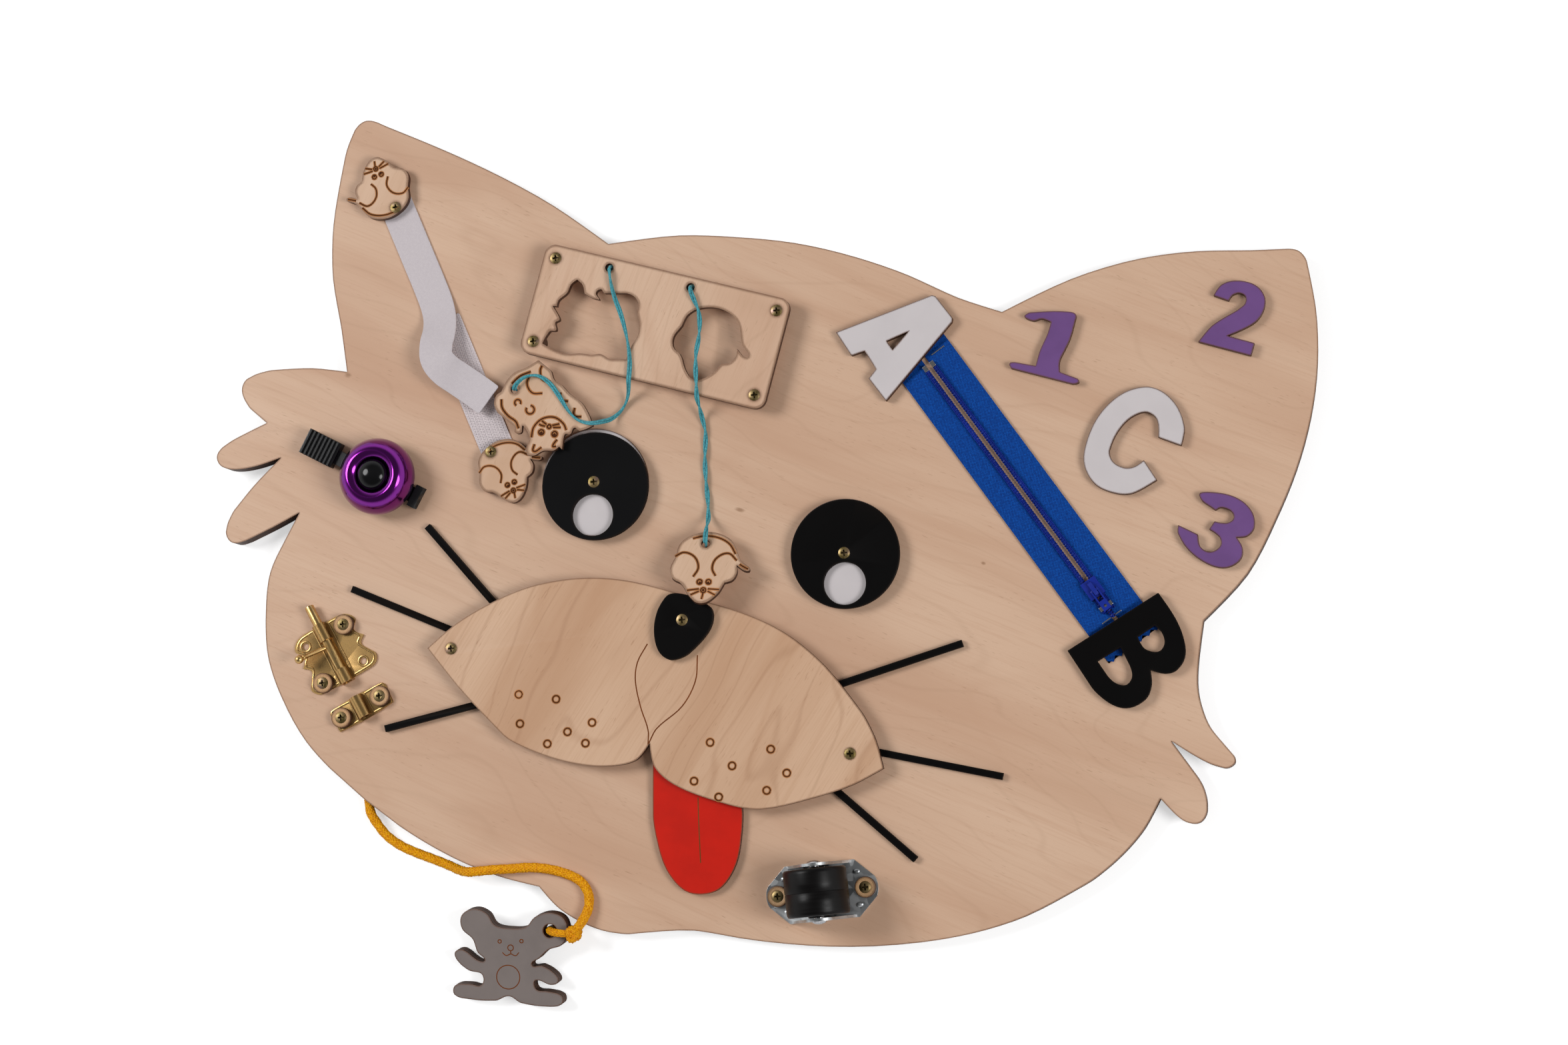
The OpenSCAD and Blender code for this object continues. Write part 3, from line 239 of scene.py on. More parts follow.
brush = {"turn": 40, "stretch": (60, 1100, 400), "depth": 0.0001, "cloud": (45, 45, 45)}


def paintFinish(name, colour, rough, worn=0.06, wall=None, dent=0.12, shine=0.25):
    # brushed paint on a flat wooden piece; its walls are burnt wood unless a wall colour is given
    finish, tree, shader = newFinish(name, colour, rough, Specular_IOR_Level=shine)
    cloudy = noiseOf(placeOf(tree, stretch=brush["cloud"]), 4, 0.6)
    tone = [max(0, c * (1 - worn * 2)) for c in colour[:3]] + [1]
    painted = mixOf(rangeOf(cloudy, 0.35, 0.7), colour, tone)
    rimShare = timesOf(rimOf(tree, scorch["reach"]), scorch["share"])
    painted = mixOf(rimShare, painted, scorch["colour"] if wall is None else wall)
    side = burntColour(tree, burntWall["paintedPly"]) if wall is None else wall
    painted = mixOf(wallOf(tree), painted, side)
    strokes = noiseOf(placeOf(tree, brush["turn"], brush["stretch"]), 3, 0.65)
    dress(shader, painted, strokes, dent, brush["depth"])
    return finish


def metalFinish(name, colour, shade, rough, spread=0.08, scale=900, dent=0.12):
    finish, tree, shader = newFinish(name, colour, rough, 1)
    speckle = noiseOf(placeOf(tree, stretch=(scale,) * 3), 4, 0.6)
    feed(shader, "Roughness", rangeOf(speckle, 0.3, 0.7, rough - spread / 2, rough + spread))
    dress(shader, mixOf(rangeOf(speckle, 0.35, 0.7), colour, shade), speckle, dent, 0.00002)
    return finish


spangle = {"base": rgb(180, 182, 184), "low": rgb(160, 163, 165), "high": rgb(200, 202, 203),
           "rough": (0.3, 0.45), "perMetre": 240}


def spangledSteel(name):
    # hot-dip zinc: crystals of slightly different grey and gloss
    finish, tree, shader = newFinish(name, spangle["base"], 0.38, 1)
    crystal = addNode(tree, "TexVoronoi", {"Vector": placeOf(tree), "Scale": spangle["perMetre"]})
    shade = addNode(tree, "SeparateColor", {0: crystal.outputs["Color"]}).outputs[0]
    feed(shader, "Roughness", rangeOf(shade, 0, 1, *spangle["rough"]))
    colour = mixOf(shade, spangle["low"], spangle["high"])
    dress(shader, colour, noiseOf(placeOf(tree), scale=600), 0.1, 0.00002)
    return finish


# the chromate film's colours, then the painted shade of the drive's recess with the reach and samples of its
# occlusion
chromate = {"gold": rgb(146, 126, 88), "green": rgb(106, 92, 54), "violet": rgb(156, 128, 116),
            "paintedRecessShade": rgb(34, 26, 14), "reach": 1.5, "samples": 8}


def zincScrew(name):
    # yellow chromate film: gold with green and violet patches; the drive's recess is darkened by painted
    # shade
    finish, tree, shader = newFinish(name, chromate["gold"], 0.42, 1)
    film = noiseOf(placeOf(tree), 2, 0.5, 0.5, 320)
    colour = mixOf(rangeOf(film, 0.3, 0.55), chromate["green"], chromate["gold"])
    colour = mixOf(rangeOf(film, 0.55, 0.75), colour, chromate["violet"])
    # painted shade: ambient occlusion darkens the recess towards a dark brown
    paintedRecessShade = addNode(tree, "AmbientOcclusion", {"Distance": chromate["reach"] * milli},
                     samples=chromate["samples"], only_local=True)
    colour = mixOf(rangeOf(paintedRecessShade.outputs["AO"], 0.4, 0.85, 0.9, 0), colour, chromate["paintedRecessShade"])
    dress(shader, colour, noiseOf(placeOf(tree), scale=900), 0.15, 0.00004)
    return finish


dye = {"base": rgb(118, 26, 134), "light": rgb(128, 28, 145), "dark": rgb(105, 20, 121)}


def anodised(name):
    finish, tree, shader = newFinish(name, dye["base"], 0.16, 1, Coat_Weight=0.4, Coat_Roughness=0.06)
    cloudy = noiseOf(placeOf(tree), scale=60)
    drawn = noiseOf(placeOf(tree, stretch=(80, 80, 1500)))
    dress(shader, mixOf(cloudy, dye["light"], dye["dark"]), drawn, 0.02, 0.00002)
    return finish


def plasticFinish(name, colour, rough, scale=900, dent=0.2, shine=0.4):
    finish, tree, shader = newFinish(name, colour, rough, Specular_IOR_Level=shine)
    cloudy = noiseOf(placeOf(tree), scale=55)
    paler = [min(1, c * 1.5 + 0.004) for c in colour[:3]] + [1]
    mixed = mixOf(rangeOf(cloudy, 0.35, 0.8), colour, paler)
    dress(shader, mixed, noiseOf(placeOf(tree), scale=scale), dent, 0.00006)
    return finish


rubber = {"base": rgb(7, 6, 6), "dark": rgb(6, 5, 5), "light": rgb(13, 11, 11), "rough": (0.32, 0.4),
          "rings": (8, 2600, 8)}


def wheelFinish(name, turn):
    # turned rubber: fine rings round the axle, which lies along the turned Y axis
    finish, tree, shader = newFinish(name, rubber["base"], 0.36, Specular_IOR_Level=0.16)
    rings = noiseOf(placeOf(tree, -turn, rubber["rings"]), 2)
    feed(shader, "Roughness", rangeOf(rings, 0.3, 0.7, *rubber["rough"]))
    dress(shader, mixOf(rings, rubber["dark"], rubber["light"]), rings, 0.12, 0.00004)
    return finish


weave = {"share": 0.4, "fuzz": 1400, "mottle": 800, "mottleShare": 0.4, "depth": 0.0002}


def clothFinish(name, colour, shade, turn, pitch, dent, rough=0.85, sheen=0.3):
    # woven tape: ribs along and across, at the tape's own turn; the low parts of the weave take painted shade
    finish, tree, shader = newFinish(name, colour, rough, Sheen_Weight=sheen, Sheen_Roughness=0.4,
                                     Specular_IOR_Level=0.15)
    spot = placeOf(tree, turn, (1 / (pitch * milli),) * 3)
    warp, weft = [mathOf("SINE", timesOf(axisOf(spot, axis), math.tau)) for axis in "XY"]
    fuzz = noiseOf(placeOf(tree), 4, 0.7, 0, weave["fuzz"])
    height = mathOf("ADD", timesOf(timesOf(warp, weft), weave["share"]), fuzz)
    mottle = rangeOf(noiseOf(placeOf(tree), 2, 0.6, 0, weave["mottle"]), 0.38, 0.62)
    # painted shade: where the weave and fuzz lie low the colour goes to the darker one; the fuzz's share is
    # random tone
    weaveWithPaintedShade = mixOf(rangeOf(height, 0.1, 0.9), shade, colour)
    mottled = mixOf(timesOf(mottle, weave["mottleShare"]), weaveWithPaintedShade, shade)
    dress(shader, mottled, height, dent, weave["depth"])
    return finish


def strandFinish(name, colour, shade, scale, sheen):
    finish, tree, shader = newFinish(name, colour, 0.5, Sheen_Weight=sheen, Sheen_Roughness=0.35,
                                     Specular_IOR_Level=0.2)
    fibre = noiseOf(placeOf(tree), 3, 0.6, 0.3, scale)
    dress(shader, mixOf(rangeOf(fibre, 0.3, 0.7), shade, colour), fibre, 0.35, 0.00012)
    return finish


zipTurn = -39.5
strapTurn = -51.9
casterTurn = 21
# one finish for each material slot, then the ones that single pieces take instead
finishes = {
    "birch": woodFinish("birchBoard", birchBoard),
    "birch_pale": woodFinish("birchThin", birchThin),
    "beech": woodFinish("beechRing", beechRing),
    "black_paint": paintFinish("blackPaint", rgb(8, 7, 7), 0.5, wall=rgb(22, 17, 14), shine=0.06),
    "white_paint": paintFinish("whitePaint", rgb(206, 199, 200), 0.5, 0.02),
    "purple_paint": paintFinish("purplePaint", rgb(112, 77, 134), 0.45),
    "red_paint": paintFinish("redPaint", rgb(204, 24, 2), 0.42),
    "grey_paint": paintFinish("greyPaint", rgb(128, 118, 114), 0.5),
    "dark_stain": paintFinish("darkStain", rgb(50, 31, 26), 0.55),
    "yellow_zinc": zincScrew("yellowZinc"),
    "brass_plate": metalFinish("brassPlate", rgb(192, 156, 102), rgb(162, 129, 80), 0.3, scale=2600),
    "steel": spangledSteel("galvanisedSteel"),
    "bell_purple": anodised("purpleAnodised"),
    "black_plastic": plasticFinish("blackPlastic", rgb(15, 15, 16), 0.36),
    "wheel_black": wheelFinish("wheelRubber", casterTurn),
    "lace_teal": strandFinish("tealLace", rgb(92, 178, 188), rgb(40, 118, 132), 1500, 0.3),
    "rope_yellow": strandFinish("yellowRope", rgb(242, 174, 2), rgb(212, 132, 0), 900, 0),
    "tape_white": clothFinish("whiteTape", rgb(212, 204, 206), rgb(196, 187, 191), -strapTurn, 0.6, 0.3),
    "tape_blue": clothFinish("zipTape", rgb(8, 88, 184), rgb(2, 42, 110), -zipTurn, 1.1, 0.9, 0.8, 0),
    "teeth_blue": plasticFinish("zipTeeth", rgb(6, 34, 122), 0.4, shine=0.2),
    "slider_blue": plasticFinish("sliderPaint", rgb(10, 38, 140), 0.32, 300, 0.1),
}
muzzleFinish = woodFinish("birchMuzzle", birchMuzzle)
plateFinish = woodFinish("birchPlate", birchPlate)
mattBlack = paintFinish("mattBlackPaint", rgb(13, 13, 14), 0.75, wall=rgb(26, 20, 17), dent=0.3, shine=0.08)
burns = {"burntLine": rgb(108, 60, 30), "deepBurn": rgb(64, 32, 14), "paleBurn": rgb(156, 104, 62)}
burntLine, deepBurn, paleBurn = [plasticFinish(*burn, 0.85, 500, 0.3, 0.1) for burn in burns.items()]
glossBlack = plasticFinish("glossBlack", rgb(8, 8, 9), 0.14, 300, 0.05, 0.25)
# the latch's brass again, smoother and lighter, for the bolt, knob and the plate's raised beads: the lower
# roughness is polish, the lighter colour a painted highlight
brassWithPaintedHighlight = metalFinish("brassWithPaintedHighlight", rgb(208, 173, 116), rgb(186, 150, 95), 0.28, 0.06, 300, 0.03)
brightTin = metalFinish("brightTin", rgb(200, 200, 202), rgb(160, 160, 164), 0.2)
hookFinish = clothFinish("hookTape", rgb(226, 215, 216), rgb(198, 187, 189), -strapTurn, 1.6, 0.9)
print("finishes ready")


def linkObject(name, mesh, finish):
    made = bpy.data.objects.new(name, mesh)
    scene.collection.objects.link(made)
    mesh.materials.clear()
    mesh.materials.append(finish)
    return made


def settle(made, body, replaces=()):
    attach(made, body)
    if replaces:
        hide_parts(*replaces)
    return made


def finishPiece(name, bm, slotName, place=None, replaces=(), finish=None, body="board", sharp=35,
                orient=False):
    # a bmesh in mm becomes a piece in metres, with its place in its mesh
    if orient:
        bmesh.ops.recalc_face_normals(bm, faces=bm.faces)
    mesh = bpy.data.meshes.new(name)
    bm.to_mesh(mesh)
    bm.free()
    mesh.transform(Matrix.Scale(milli, 4) @ (place or Matrix()))
    mesh.shade_smooth()
    mesh.set_sharp_from_angle(angle=math.radians(sharp))
    made = linkObject(name, mesh, finish or finishes[slotName])
    return settle(made, body, replaces)


def moved(x, y, z):
    return Matrix.Translation((x, y, z))


def turned(degrees, axis):
    return Matrix.Rotation(math.radians(degrees), 4, axis)


def placed(at, height=0, turn=0):
    return moved(*at, height) @ turned(turn, "Z")


def shapeOf(*meshes):
    bm = bmesh.new()
    for mesh in meshes:
        bm.from_mesh(mesh)
    return bm


def bevelSharp(bm, least, width):
    # takes the edges off that turn by more than least, in radians
    edges = [e for e in bm.edges if len(e.link_faces) == 2 and e.calc_face_angle(0) > least]
    bmesh.ops.bevel(bm, geom=edges, offset=width, offset_type="OFFSET", segments=2, profile=0.5,
                    affect="EDGES", clamp_overlap=True, material=-1)


def isRim(edge):
    faces = edge.link_faces
    return len(faces) == 2 and (abs(faces[0].normal.z) > 0.9) != (abs(faces[1].normal.z) > 0.9)


# a bend above this angle, or a neighbour this many times shorter, ends a curved outline
outlineEnd = {"degrees": 32, "times": 3}


def tangentAt(vert, edge, ahead):
    # the outline's direction at a point, or the edge's own where the outline has a corner
    others = [e for e in vert.link_edges if e != edge and isRim(e)]
    if len(others) != 1:
        return ahead.normalized()
    behind = vert.co - others[0].other_vert(vert).co
    if behind.length < 1e-6 or behind.angle(ahead) > math.radians(outlineEnd["degrees"]):
        return ahead.normalized()
    if ahead.length > outlineEnd["times"] * behind.length:
        return ahead.normalized()
    if behind.length > outlineEnd["times"] * ahead.length:
        return behind.normalized()
    return (behind / behind.length_squared + ahead / ahead.length_squared).normalized()


def roundOutline(bm):
    # halves every wall along a curved outline twice, with the new point on the smooth curve
    for _ in range(2):
        bm.normal_update()
        jobs = []
        for face in bm.faces:
            rims = [e for e in face.edges if isRim(e)]
            if len(face.verts) != 4 or abs(face.normal.z) > 0.35 or len(rims) != 2:
                continue
            if set(rims[0].verts) & set(rims[1].verts):
                continue
            spots = []
            for edge in rims:
                b, c = edge.verts
                way = c.co - b.co
                bend = tangentAt(b, edge, way) + tangentAt(c, edge, -way)
                spots.append((b.co + c.co) / 2 + bend * way.length / 8)
            jobs.append((face, rims, spots))
        for face, rims, spots in jobs:
            made = [bmesh.utils.edge_split(e, e.verts[0], 0.5)[1] for e in rims]
            for vert, spot in zip(made, spots):
                vert.co = spot
            bmesh.utils.face_split(face, made[0], made[1])


# points this near merge, faces this flat join, and edges sharper than the kind's angle are bevelled
arris = {"merge": 0.002, "flat": 1, "wood": 40, "hardware": 28, "sharp": 20}
# the bodies of the pieces that move, and the finishes that aren't their slot's
movers = {
    "nose_disc": "nose", "tongue": "tongue_flap", "eye_left_disc": "eye_left", "eye_right_disc": "eye_right",
    "kitten_pendant": "kitten", "mouse_pendant": "mouse", "zipper_slider": "slider",
    "zipper_pull": "pull_tab", "bell_lever": "bell_thumb"}
ownFinish = {
    "muzzle_plate": muzzleFinish, "eye_left_disc": mattBlack, "lacing_plate": plateFinish,
    "zipper_stops": brightTin, "zipper_staples": brightTin, "bell_pin": brightTin}


def softened(kind, node, slotName, width):
    # a merged copy of a CAD piece with its outline rounded and its arrises taken off
    bm = shapeOf(cadNodes[node].data)
    bmesh.ops.scale(bm, vec=(1 / milli,) * 3, verts=bm.verts)
    bmesh.ops.remove_doubles(bm, verts=bm.verts, dist=arris["merge"])
    bmesh.ops.dissolve_limit(bm, angle_limit=math.radians(arris["flat"]), verts=bm.verts, edges=bm.edges)
    roundOutline(bm)
    bevelSharp(bm, math.radians(arris[kind]), width)
    finishPiece(node + "_shown", bm, slotName, None, [node], ownFinish.get(node), movers.get(node, "board"),
                arris["sharp"])


def turnedPiece(name, profile, steps, slotName, place, node, finish=None, body="board", sharp=35,
                axis=(0, 0, 1)):
    # profile of (radius, height) points, spun about axis; the height runs along it
    bm = bmesh.new()
    up = Vector(axis).normalized()
    out = up.orthogonal().normalized()
    verts = [bm.verts.new(out * r + up * h) for r, h in profile]
    edges = [bm.edges.new(pair) for pair in zip(verts, verts[1:])]
    bmesh.ops.spin(bm, geom=verts + edges, axis=up, angle=math.tau, steps=steps, use_merge=True)
    bmesh.ops.remove_doubles(bm, verts=bm.verts, dist=0.0005)
    finishPiece(name, bm, slotName, place, [node], finish, body, sharp, True)


def smoothRoute(points, parts):
    # the same curve through the points as the solid model's cords follow
    route = [Vector(p) for p in points]
    last = len(route) - 1
    ways = [(route[min(i + 1, last)] - route[max(i - 1, 0)]).normalized() for i in range(last + 1)]
    line = []
    for i in range(last):
        a, b = route[i], route[i + 1]
        u, v = ways[i] * (b - a).length, ways[i + 1] * (b - a).length
        for k in range(parts):
            t = k / parts
            line.append(a * (2 * t**3 - 3 * t**2 + 1) + u * (t**3 - 2 * t**2 + t)
                        + b * (3 * t**2 - 2 * t**3) + v * (t**3 - t**2))
    return line + [route[last]]


def evenly(line, step):
    # the line again, with a point every step
    out = [line[0].copy()]
    left = step
    for a, b in zip(line, line[1:]):
        way, done = b - a, 0
        while way.length - done >= left:
            done += left
            out.append(a + way.normalized() * done)
            left = step
        left -= way.length - done
    return out + [line[-1].copy()]


def tubesMesh(lines, radius, sides=1, name="tubes"):
    data = bpy.data.curves.new(name, "CURVE")
    data.dimensions = "3D"
    data.bevel_depth = radius
    data.bevel_resolution = sides
    data.use_fill_caps = True
    for line in lines:
        spline = data.splines.new("POLY")
        spline.points.add(len(line) - 1)
        for point, co in zip(spline.points, line):
            point.co = (*co, 1)
    shape = bpy.data.objects.new(name, data)
    scene.collection.objects.link(shape)
    bpy.context.view_layer.update()
    mesh = bpy.data.meshes.new_from_object(shape.evaluated_get(bpy.context.evaluated_depsgraph_get()))
    bpy.data.objects.remove(shape)
    mesh.shade_smooth()
    return mesh


def wound(line, count, orbit, pitch, hand=1, weave=0):
    # strands that wind round a line; weave moves them in and out as a braid does
    strands = [[] for _ in range(count)]
    side = (line[1] - line[0]).orthogonal().normalized()
    gone = 0
    for i, p in enumerate(line):
        way = (line[min(i + 1, len(line) - 1)] - line[max(i - 1, 0)]).normalized()
        side = (side - way * side.dot(way)).normalized()
        other = way.cross(side)
        gone += (p - line[i - 1]).length if i else 0
        for k in range(count):
            angle = math.tau * (k / count + hand * gone / pitch)
            away = orbit + weave * math.cos(count * angle + math.pi * (hand < 0))
            strands[k].append(p + side * math.cos(angle) * away + other * math.sin(angle) * away)
    return strands


# cords: the routes repeat the solid model's
laceCord = {"diameter": 2.6, "strand": 0.66, "orbit": 0.64, "stepMetres": 0.0007}
kittenRoute = [
    (-95.5, 121.6, 14.5), (-95.5, 121.6, 18), (-95.3, 121.2, 20.8), (-94, 118.4, 22.3), (-91.5, 112.5, 21.7),
    (-88, 106.5, 21.4), (-83, 99.5, 21.4), (-78.5, 92, 21.4), (-74.5, 84, 21.4), (-71.5, 76, 21.4),
    (-70, 69.5, 21.6), (-69.5, 66.2, 21.2), (-69.3, 63, 18.2), (-69.5, 59, 14.2), (-70.3, 54.6, 11.8),
    (-72.2, 49.6, 11.4), (-75.2, 45, 13.6), (-78.6, 42, 18.6), (-82.5, 39.9, 21.7), (-87, 39.4, 21.3),
    (-92, 40.4, 20.9), (-97, 43.5, 20.9), (-104, 50, 20.9), (-110.5, 55, 20.9), (-117.5, 57.3, 21),
    (-123.5, 55.3, 21.4), (-127, 51, 22.1), (-128.2, 48, 20.6), (-128.2, 47.5, 17.6)]
mouseRoute = [
    (-50.5, 121.4, 14.5), (-50.5, 121.4, 18), (-50.3, 121, 20.8), (-49, 118.6, 22.3), (-46, 114.5, 21.6),
    (-43, 110.5, 21.4), (-40.5, 104, 21.4), (-39, 96.5, 21.4), (-38.2, 88, 21.4), (-36, 79, 21.4),
    (-33.2, 70.5, 21.6), (-32, 66.4, 21.2), (-30.9, 63.2, 18.2), (-29.6, 59.8, 14.2), (-27.6, 55.6, 11.8),
    (-24.8, 50, 11.4), (-22, 38.5, 11.4), (-19, 28.5, 11.4), (-15.5, 19, 11.4), (-12.7, 11, 11.6),
    (-11, 6.2, 14), (-9.9, 3, 18), (-9, -0.6, 21.2), (-8.2, -3.9, 22.4), (-7.8, -5.9, 21.9),
    (-7.75, -6.5, 20.3), (-7.75, -7.2, 17.9)]
pullRope = {"diameter": 5, "strand": 0.64, "orbit": 1.8, "weave": 0.3, "pitch": 17, "core": 1.7,
            "strands": 8, "step": 0.9}
pullRoute = [
    (-155.6, -169.5, 5), (-151, -180.6, 5), (-148.4, -186.6, 4.7), (-143.5, -191.3, 4.1),
    (-137.4, -195.8, 3.2), (-129, -199, 2.6), (-119.5, -200.5, 2.6), (-110, -201.3, 2.6), (-100, -202.3, 3),
    (-93.5, -202.9, 6.9), (-87.5, -202.4, 11.3), (-81, -200.2, 12.9), (-74, -197.6, 12.7), (-66, -195, 12.6),
    (-56, -191.6, 12.5), (-46, -189.8, 12.5), (-36, -189.7, 12.5), (-28, -191.4, 12.5), (-22.5, -196, 12.6),
    (-20.2, -202.5, 12.8), (-20.8, -209, 13.6)]


def inMetres(points):
    return [Vector(p) * milli for p in points]


def makeLace(name, route, pitch, node):
    line = evenly(smoothRoute(inMetres(route), 8), laceCord["stepMetres"])
    strands = wound(line, 2, laceCord["orbit"] * milli, pitch * milli)
    made = linkObject(name, tubesMesh(strands, laceCord["strand"] * milli, 2, name), finishes["lace_teal"])
    settle(made, "board", [node])


makeLace("kitten_lace", kittenRoute, 70, "kitten_cord")
makeLace("mouse_lace", mouseRoute, 27, "mouse_cord")
print("laces ready")

toyPlace = placed((-54.5, -239), 0.1, 10) @ moved(0, -22.5, 0) @ turned(8.5, "X") @ moved(0, 22.5, 0)
toyRope = {"knot": (34.2, 17, 11.4), "reach": 2.9, "knotScale": 0.72,
           "loop": (27.5, 17, 4), "radius": 7.5, "loopScale": 0.8}


def ropeMesh(name, line, scale=1, place=None):
    # a core with strands wound each way over and under it
    line = evenly(line, pullRope["step"])
    orbit, pitch = pullRope["orbit"] * scale, pullRope["pitch"] * scale
    strands = []
    for hand in (1, -1):
        strands += wound(line, pullRope["strands"], orbit, pitch, hand, pullRope["weave"])
    bm = shapeOf(tubesMesh(strands, pullRope["strand"] * scale, 1),
                 tubesMesh([line], pullRope["core"] * scale, 2))
    return line, finishPiece(name, bm, "rope_yellow", place, sharp=80)


def loopOf(count, spotAt):
    return [spotAt(math.tau * i / count) for i in range(count + 1)]


def ringSpot(a):
    return Vector(toyRope["loop"]) + Vector((math.cos(a), 0, math.sin(a))) * toyRope["radius"]


def knotSpot(a):
    # a trefoil
    away = 2 + math.cos(3 * a)
    way = Vector((away * math.cos(2 * a), away * math.sin(2 * a), math.sin(3 * a)))
    return Vector(toyRope["knot"]) + way * toyRope["reach"] / 3


pullEnd = toyPlace @ Vector(toyRope["knot"])
ropeLine, pullCord = ropeMesh("pull_rope", smoothRoute(pullRoute + [pullEnd], 8))
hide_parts("pull_cord")
toyRing = ropeMesh("toy_rope_ring", loopOf(72, ringSpot), toyRope["loopScale"], toyPlace)[1]
toyKnot = ropeMesh("toy_rope_knot", loopOf(96, knotSpot), toyRope["knotScale"], toyPlace)[1]
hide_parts("toy_loop")
print("cords ready")

# flat wooden pieces: node, slot, width of the softened arris
woodPieces = [
    ("base_board", "birch", 0.45), ("muzzle_plate", "birch", 0.25), ("muzzle_spacers", "birch_pale", 0.3),
    ("whiskers_left", "black_paint", 0.25), ("whiskers_right", "black_paint", 0.25),
    ("nose_disc", "black_paint", 0.3), ("tongue", "red_paint", 0.3), ("eye_left_backing", "white_paint", 0.3),
    ("eye_left_disc", "black_paint", 0.35), ("eye_right_backing", "white_paint", 0.3),
    ("eye_right_disc", "black_paint", 0.3), ("lacing_plate", "birch", 0.25), ("lacing_spacers", "beech", 0.4),
    ("kitten_pendant", "birch_pale", 0.3), ("mouse_pendant", "birch_pale", 0.3),
    ("mouse_clamp_upper", "birch_pale", 0.3), ("mouse_clamp_lower", "birch_pale", 0.3),
    ("letter_a", "white_paint", 0.3), ("letter_b", "black_paint", 0.25), ("letter_c", "white_paint", 0.3),
    ("digit_1", "purple_paint", 0.3), ("digit_2", "purple_paint", 0.3), ("digit_3", "purple_paint", 0.3),
    ("ring_washers", "beech", 0.5), ("toy_back", "dark_stain", 0.3), ("toy_front", "grey_paint", 0.35),
]
for piece in woodPieces:
    softened("wood", *piece)
print("wood ready")

# small hardware whose shape only needs its edges rounded
hardware = [(what + "_screws", "yellow_zinc", 0.06) for what in ("eye", "face", "lacing", "clamp", "fitting")]
hardware += [
    ("bell_screw", "yellow_zinc", 0.06), ("zipper_slider", "slider_blue", 0.3),
    ("zipper_pull", "slider_blue", 0.22), ("zipper_stops", "steel", 0.2), ("zipper_staples", "steel", 0.12),
    ("bell_base", "black_plastic", 0.4), ("bell_lever", "black_plastic", 0.4), ("bell_pin", "steel", 0.2),
    ("latch_plate", "brass_plate", 0.3), ("latch_keeper", "brass_plate", 0.3), ("caster_fork", "steel", 0.4),
]
for piece in hardware:
    softened("hardware", *piece)
print("hardware ready")

# how far the lines stand proud, how much wider their border is, and the muzzle dots' diameter
burnt = {"proud": 0.07, "border": 1.9, "dot": 3.7}


def burntLines(name, lines, top, half, place=None, body="board", finish=burntLine, proud=burnt["proud"]):
    # thin scorched lines, drawn as tubes and pressed almost flush with the wood
    bm = shapeOf(tubesMesh([smoothRoute([(x, y, 0) for x, y in line], 6) for line in lines], half))
    bmesh.ops.scale(bm, vec=(1, 1, proud / half), verts=bm.verts)
    bmesh.ops.translate(bm, vec=(0, 0, top), verts=bm.verts)
    finishPiece(name, bm, None, place, finish=finish, body=body)


def scorched(name, lines, top, half, place=None, body="board"):
    # a dark line with a paler border on both sides
    wide = half * burnt["border"]
    burntLines(name, lines, top, half, place, body, deepBurn)
    burntLines(name + "_border", lines, top, wide, place, body, paleBurn, burnt["proud"] / 2)


def ring(x, y, radius, count=20, start=0, sweep=360):
    return [(x + radius * math.cos(math.radians(start + sweep * i / count)),
             y + radius * math.sin(math.radians(start + sweep * i / count))) for i in range(count + 1)]


muzzleLines = [
    [(-24.5, -64.1), (-27.1, -74.7), (-25.6, -84.3), (-19.4, -96.6), (-12.6, -106.9), (-10.6, -114.2)],
    [(2.6, -63.3), (5, -76.5), (1.6, -90.8), (-8.3, -105.1), (-10.4, -113.5)],
]
dotPlaces = [
    (-83.9, -106.4), (-63.9, -103.8), (-79.2, -120.9), (-53.6, -118.6), (-42.2, -110.7), (-62.3, -127.3),
    (-42.8, -121.9), (20.7, -105), (52.2, -100.4), (34.9, -113.7), (63.4, -110.1), (17.7, -126.3),
    (55.6, -121.3), (32.3, -130.9)]
dots = [ring(x, y, burnt["dot"] / 2, 16) for x, y in dotPlaces]
tongueLine = [(21, -134), (24, -144), (27.5, -155), (31, -166)]
burntLines("muzzle_scorch", muzzleLines, 18, 0.34)
scorched("muzzle_dots", dots, 18, 0.38)
burntLines("tongue_scorch", [tongueLine], 13.5, 0.3, body="tongue_flap")

mouseFace = [
    [(-16.2, 6.4), (-11.5, 8.6), (-6, 6), (-3.9, 0.2), (-6.4, -4.8)], ring(-2.9, -7.6, 1.25),
    [(16, 4), (11.4, 8), (5.4, 5.4), (3.3, 0), (5.2, -4.4)], ring(1.7, -7.6, 1.25),
    ring(-2.7, -8.1, 0.35, 8), ring(1.6, -8.1, 0.35, 8), ring(-0.8, -12.1, 1.3), ring(-0.8, -12.1, 0.4, 8),
    [(-3, -11.4), (-6.4, -11.8), (-9.3, -12.2)], [(-3, -12.6), (-5.6, -13.8), (-7.4, -14.6)],
    [(1.4, -11.4), (4.6, -11.6), (7.4, -11.8)], [(1.4, -12.6), (3.6, -13.8), (5.4, -14.8)],
    [(-0.9, -13.5), (-1.2, -15.2), (-1.6, -17)],
    [(15.2, 7.6), (11.8, 13.2), (6, 16.6), (-1.2, 17.6), (-7.4, 16.2)], [(17.4, 2), (19.6, 0.6), (22, -0.7)]]
